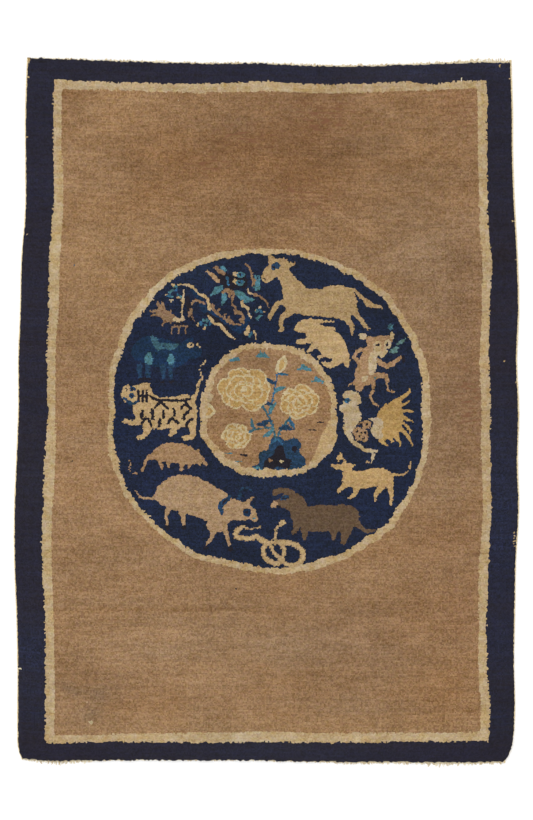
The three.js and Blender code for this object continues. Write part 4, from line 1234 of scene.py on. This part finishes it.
# Clipped sheep's wool, plant dyed: matt, each knot its own shade and hue, worn to reddish lines in places
def clippedWool():
    material, tree, shader = newMaterial("clippedWoolPile")
    dye = add(tree, "Attribute", attribute_name="dye").outputs
    knots = add(tree, "UVMap", uv_map="knots").outputs["UV"]
    place = add(tree, "TexCoord").outputs["Object"]
    ruffle = add(tree, "TexNoise", {"Vector": place, "Scale": 330, "Detail": 2}).outputs["Color"]
    half = (-0.55, -0.55, 0)     # ragged edges to each knot, half a knot either way
    ruffle = add(tree, "VectorMath", {0: ruffle, 1: (1.1, 1.1, 0), 2: half}, operation="MULTIPLY_ADD").outputs[0]
    ruffled = add(tree, "VectorMath", {0: knots, 1: ruffle}, operation="ADD").outputs[0]
    knot = add(tree, "VectorMath", {0: ruffled}, operation="FLOOR").outputs[0]
    each = add(tree, "TexWhiteNoise", {"Vector": knot}, noise_dimensions="2D").outputs["Value"]
    streaks = add(tree, "Mapping", {"Vector": knots, "Scale": (0.05, 0.7, 1)}).outputs[0]
    streak = add(tree, "TexNoise", {"Vector": streaks, "Scale": 1, "Detail": 2}, noise_dimensions="2D").outputs[0]
    streak = add(tree, "Math", {0: streak, 1: 0.46}, operation="MAXIMUM").outputs[0]
    patches = add(tree, "TexNoise", {"Vector": place, "Scale": 9, "Detail": 5, "Roughness": 0.62}).outputs[0]
    fibre = add(tree, "TexNoise", {"Vector": place, "Scale": 420, "Detail": 2}).outputs[0]
    total = varied(tree, (each, 0.62), (streak, 0.8), (patches, 0.3), (fibre, 0.95))
    depth = add(tree, "MapRange", {"Value": dye["Fac"], 1: 0.15, 2: 0.4, 3: 1, 4: 0.32}).outputs[0]
    total = add(tree, "Math", {0: total, 1: depth}, operation="MULTIPLY").outputs[0]
    even = add(tree, "MapRange", {"Value": dye["Fac"], 1: 0.03, 2: 0.09, 3: 0.7, 4: 1}).outputs[0]
    parts = add(tree, "SeparateColor", {0: dye["Color"]}).outputs
    blue = add(tree, "Math", {0: parts[2], 1: parts[0]}, operation="SUBTRACT").outputs[0]
    blue = add(tree, "MapRange", {"Value": blue, 1: 0.012, 2: 0.022, 3: 0.5, 4: 1.1}).outputs[0]
    even = add(tree, "Math", {0: even, 1: blue}, operation="MAXIMUM").outputs[0]
    total = add(tree, "Math", {0: total, 1: even}, operation="MULTIPLY").outputs[0]
    shift = add(tree, "VectorMath", {0: (0.86, 1, 1.25), "Scale": total}, operation="SCALE").outputs[0]
    hues = add(tree, "Mapping", {"Vector": knots, "Scale": (0.28, 0.42, 1)}).outputs[0]
    hue = add(tree, "TexNoise", {"Vector": hues, "Scale": 1, "Detail": 2}, noise_dimensions="2D").outputs["Color"]
    hue = add(tree, "VectorMath", {0: hue, 1: (-0.5, -0.5, -0.5)}, operation="ADD").outputs[0]
    shift = add(tree, "VectorMath", {0: hue, 1: (0.1, 0.18, 0.5), 2: shift}, operation="MULTIPLY_ADD").outputs[0]
    shift = add(tree, "VectorMath", {0: shift, 1: (1, 1, 1)}, operation="ADD").outputs[0]
    shade = add(tree, "VectorMath", {0: dye["Color"], 1: shift}, operation="MULTIPLY").outputs[0]
    lines = add(tree, "Mapping", {"Vector": knots, "Scale": (0.11, 0.55, 1), "Location": (7, 3, 0)}).outputs[0]
    line = add(tree, "TexNoise", {"Vector": lines, "Scale": 1, "Detail": 3}, noise_dimensions="2D").outputs[0]
    line = add(tree, "MapRange", {"Value": line, 1: 0.52, 2: 0.66}).outputs[0]
    line = add(tree, "Math", {0: line, 1: dye["Alpha"]}, operation="MULTIPLY").outputs[0]
    shade = add(tree, "Mix", {"Factor": line, 6: shade, 7: (*linear("#7a533c"), 1)}, data_type="RGBA").outputs[2]
    tree.links.new(shade, shader.inputs["Base Color"])
    local = add(tree, "VectorMath", {0: ruffled}, operation="FRACTION").outputs[0]
    away = add(tree, "VectorMath", {0: local, 1: (0.5, 0.5, 0)}, operation="DISTANCE").outputs["Value"]
    dome = add(tree, "MapRange", {"Value": away, 1: 0.15, 2: 0.7, 3: 1, 4: 0},
               interpolation_type="SMOOTHSTEP").outputs[0]
    bumps = add(tree, "Math", {0: fibre, 1: 0.9, 2: dome}, operation="MULTIPLY_ADD").outputs[0]
    bumps = add(tree, "Math", {0: each, 1: 0.5, 2: bumps}, operation="MULTIPLY_ADD").outputs[0]
    relief = add(tree, "Bump", {"Height": bumps, "Distance": 0.0009, "Strength": 0.6}).outputs[0]
    tree.links.new(relief, shader.inputs["Normal"])
    shader.inputs["Roughness"].default_value = 0.93
    shader.inputs["Specular IOR Level"].default_value = 0.12
    shader.inputs["Sheen Weight"].default_value = 0.04
    shader.inputs["Sheen Roughness"].default_value = 0.5
    return material


# The back of the knots: each knot is two small nubs of its dye between cotton wefts
def knottedBack():
    material, tree, shader = newMaterial("knottedWoolBack")
    dyed = add(tree, "Attribute", attribute_name="dye").outputs["Color"]
    knots = add(tree, "UVMap", uv_map="knots").outputs["UV"]
    place = add(tree, "TexCoord").outputs["Object"]
    nubs = add(tree, "VectorMath", {0: knots, 1: (2, 1, 1)}, operation="MULTIPLY").outputs[0]
    nub = add(tree, "VectorMath", {0: nubs}, operation="FLOOR").outputs[0]
    each = add(tree, "TexWhiteNoise", {"Vector": nub}, noise_dimensions="2D").outputs["Value"]
    patches = add(tree, "TexNoise", {"Vector": place, "Scale": 11, "Detail": 4}).outputs[0]
    local = add(tree, "VectorMath", {0: nubs}, operation="FRACTION").outputs[0]
    centred = add(tree, "VectorMath", {0: local, 1: (0.5, 0.5, 0)}, operation="SUBTRACT").outputs[0]
    stretched = add(tree, "VectorMath", {0: centred, 1: (0.9, 1.2, 0)}, operation="MULTIPLY").outputs[0]
    away = add(tree, "VectorMath", {0: stretched}, operation="LENGTH").outputs["Value"]
    dome = add(tree, "MapRange", {"Value": away, 1: 0.2, 2: 0.62, 3: 1, 4: 0},
               interpolation_type="SMOOTHSTEP").outputs[0]
    uneven = varied(tree, (each, 0.4), (patches, 0.4), start=1.0)
    shade = add(tree, "VectorMath", {0: dyed, "Scale": uneven}, operation="SCALE").outputs[0]
    weft = add(tree, "MapRange", {"Value": dome, 1: 0.0, 2: 0.22, 3: 0.4, 4: 0}).outputs[0]
    mixed = add(tree, "Mix", {"Factor": weft, 6: shade, 7: (*linear("#b7a27c"), 1)}, data_type="RGBA").outputs[2]
    tree.links.new(mixed, shader.inputs["Base Color"])
    relief = add(tree, "Bump", {"Height": dome, "Distance": 0.0007, "Strength": 0.7}).outputs[0]
    tree.links.new(relief, shader.inputs["Normal"])
    shader.inputs["Roughness"].default_value = 0.95
    shader.inputs["Specular IOR Level"].default_value = 0.15
    return material


# Undyed cotton yarn: pale, dry and a little dusty, with the fine lines of its twist
def cottonYarn(name, hexColour, mapName, lines, slant, uneven):
    material, tree, shader = newMaterial(name)
    wound = add(tree, "UVMap", uv_map=mapName).outputs["UV"]
    place = add(tree, "TexCoord").outputs["Object"]
    turn = add(tree, "VectorMath", {0: wound}, operation="FLOOR").outputs[0]
    each = add(tree, "TexWhiteNoise", {"Vector": turn}, noise_dimensions="2D").outputs["Value"]
    dust = add(tree, "TexNoise", {"Vector": place, "Scale": 45, "Detail": 4, "Roughness": 0.6}).outputs[0]
    grime = add(tree, "TexNoise", {"Vector": place, "Scale": 7, "Detail": 2}).outputs[0]
    fibre = add(tree, "TexNoise", {"Vector": place, "Scale": 1400, "Detail": 1}).outputs[0]
    twist = add(tree, "Mapping", {"Vector": wound, "Scale": (lines, lines, 1), "Rotation": (0, 0, math.radians(slant))})
    ply = add(tree, "TexWave", {"Vector": twist.outputs[0], "Scale": 1, "Distortion": 1.2, "Detail": 1}).outputs["Fac"]
    total = varied(tree, (each, uneven), (dust, 0.5), (grime, 0.35), (fibre, 0.3), (ply, 0.3))
    shift = add(tree, "VectorMath", {0: (0.75, 1, 1.4), "Scale": total}, operation="SCALE").outputs[0]
    shift = add(tree, "VectorMath", {0: shift, 1: (1, 1, 1)}, operation="ADD").outputs[0]
    colour = add(tree, "VectorMath", {0: tuple(linear(hexColour)), 1: shift}, operation="MULTIPLY").outputs[0]
    tree.links.new(colour, shader.inputs["Base Color"])
    bumps = add(tree, "Math", {0: fibre, 1: 0.6, 2: ply}, operation="MULTIPLY_ADD").outputs[0]
    relief = add(tree, "Bump", {"Height": bumps, "Distance": 0.0002, "Strength": 0.6}).outputs[0]
    tree.links.new(relief, shader.inputs["Normal"])
    shader.inputs["Roughness"].default_value = 0.9
    shader.inputs["Specular IOR Level"].default_value = 0.2
    shader.inputs["Sheen Weight"].default_value = 0.08
    return material


pile.data.materials.append(clippedWool())
back.data.materials.append(knottedBack())
cordYarn = cottonYarn("wrappedCottonCord", "#e0cca2", "wraps", 3, 20, 0.35)
warpYarn = cottonYarn("plainWovenCotton", "#e2d3b2", "threads", 1, 45, 0.6)
for piece in cords:
    piece.data.materials.append(cordYarn)
for piece in (*webs, *warps):
    piece.data.materials.append(warpYarn)

print("setting the pieces on the frame")
slots = {pile: "wool_pile", back: "cotton_warp", **{cord: "side_cord" for cord in cords},
         **{piece: "cotton_warp" for piece in (*webs, *warps)}}
for piece, slotName in slots.items():
    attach(piece, "root")
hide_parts("knotted_cloth")
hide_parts("knotted_cloth")
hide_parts("side_cord_left")
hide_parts("side_cord_right")
for piece in (webs[0], warps[0]):
    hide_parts("warp_end_top")
for piece in (webs[1], warps[1]):
    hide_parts("warp_end_bottom")

print("setting the floor, light and camera")
studio = {
    "floor": 0.97,            # pale paper
    "sky": 0.86,
    "sun": 1.15,
    "softness": 60,           # degrees across
    "cameraHeight": 5.809,    # straight above, as the photograph is taken
    "cameraUp": 0.0018,
    "lens": 100,
}
bpy.ops.object.select_all(action="DESELECT")
bpy.ops.mesh.primitive_plane_add(size=12, location=(0, 0, -0.0002))
floor = bpy.context.object
floor.name = "floor"
material, tree, shader = newMaterial("palePaper")
shader.inputs["Base Color"].default_value = (studio["floor"], studio["floor"], studio["floor"], 1)
shader.inputs["Roughness"].default_value = 1
floor.data.materials.append(material)
world = bpy.context.scene.world or bpy.data.worlds.new("studio")
bpy.context.scene.world = world
world.use_nodes = True
sky = world.node_tree.nodes["Background"]
sky.inputs["Color"].default_value = (1, 1, 1, 1)
sky.inputs["Strength"].default_value = studio["sky"]
bpy.ops.object.light_add(type="SUN", location=(0, 0, 4), rotation=(math.radians(-28), math.radians(-22), 0))
sun = bpy.context.object
sun.data.energy = studio["sun"]
sun.data.angle = math.radians(studio["softness"])
bpy.ops.object.camera_add(location=(0, studio["cameraUp"], studio["cameraHeight"]))
camera = bpy.context.object
camera.data.lens = studio["lens"]
camera.data.sensor_width = 36
bpy.context.scene.camera = camera
bpy.context.scene.view_settings.view_transform = "Standard"
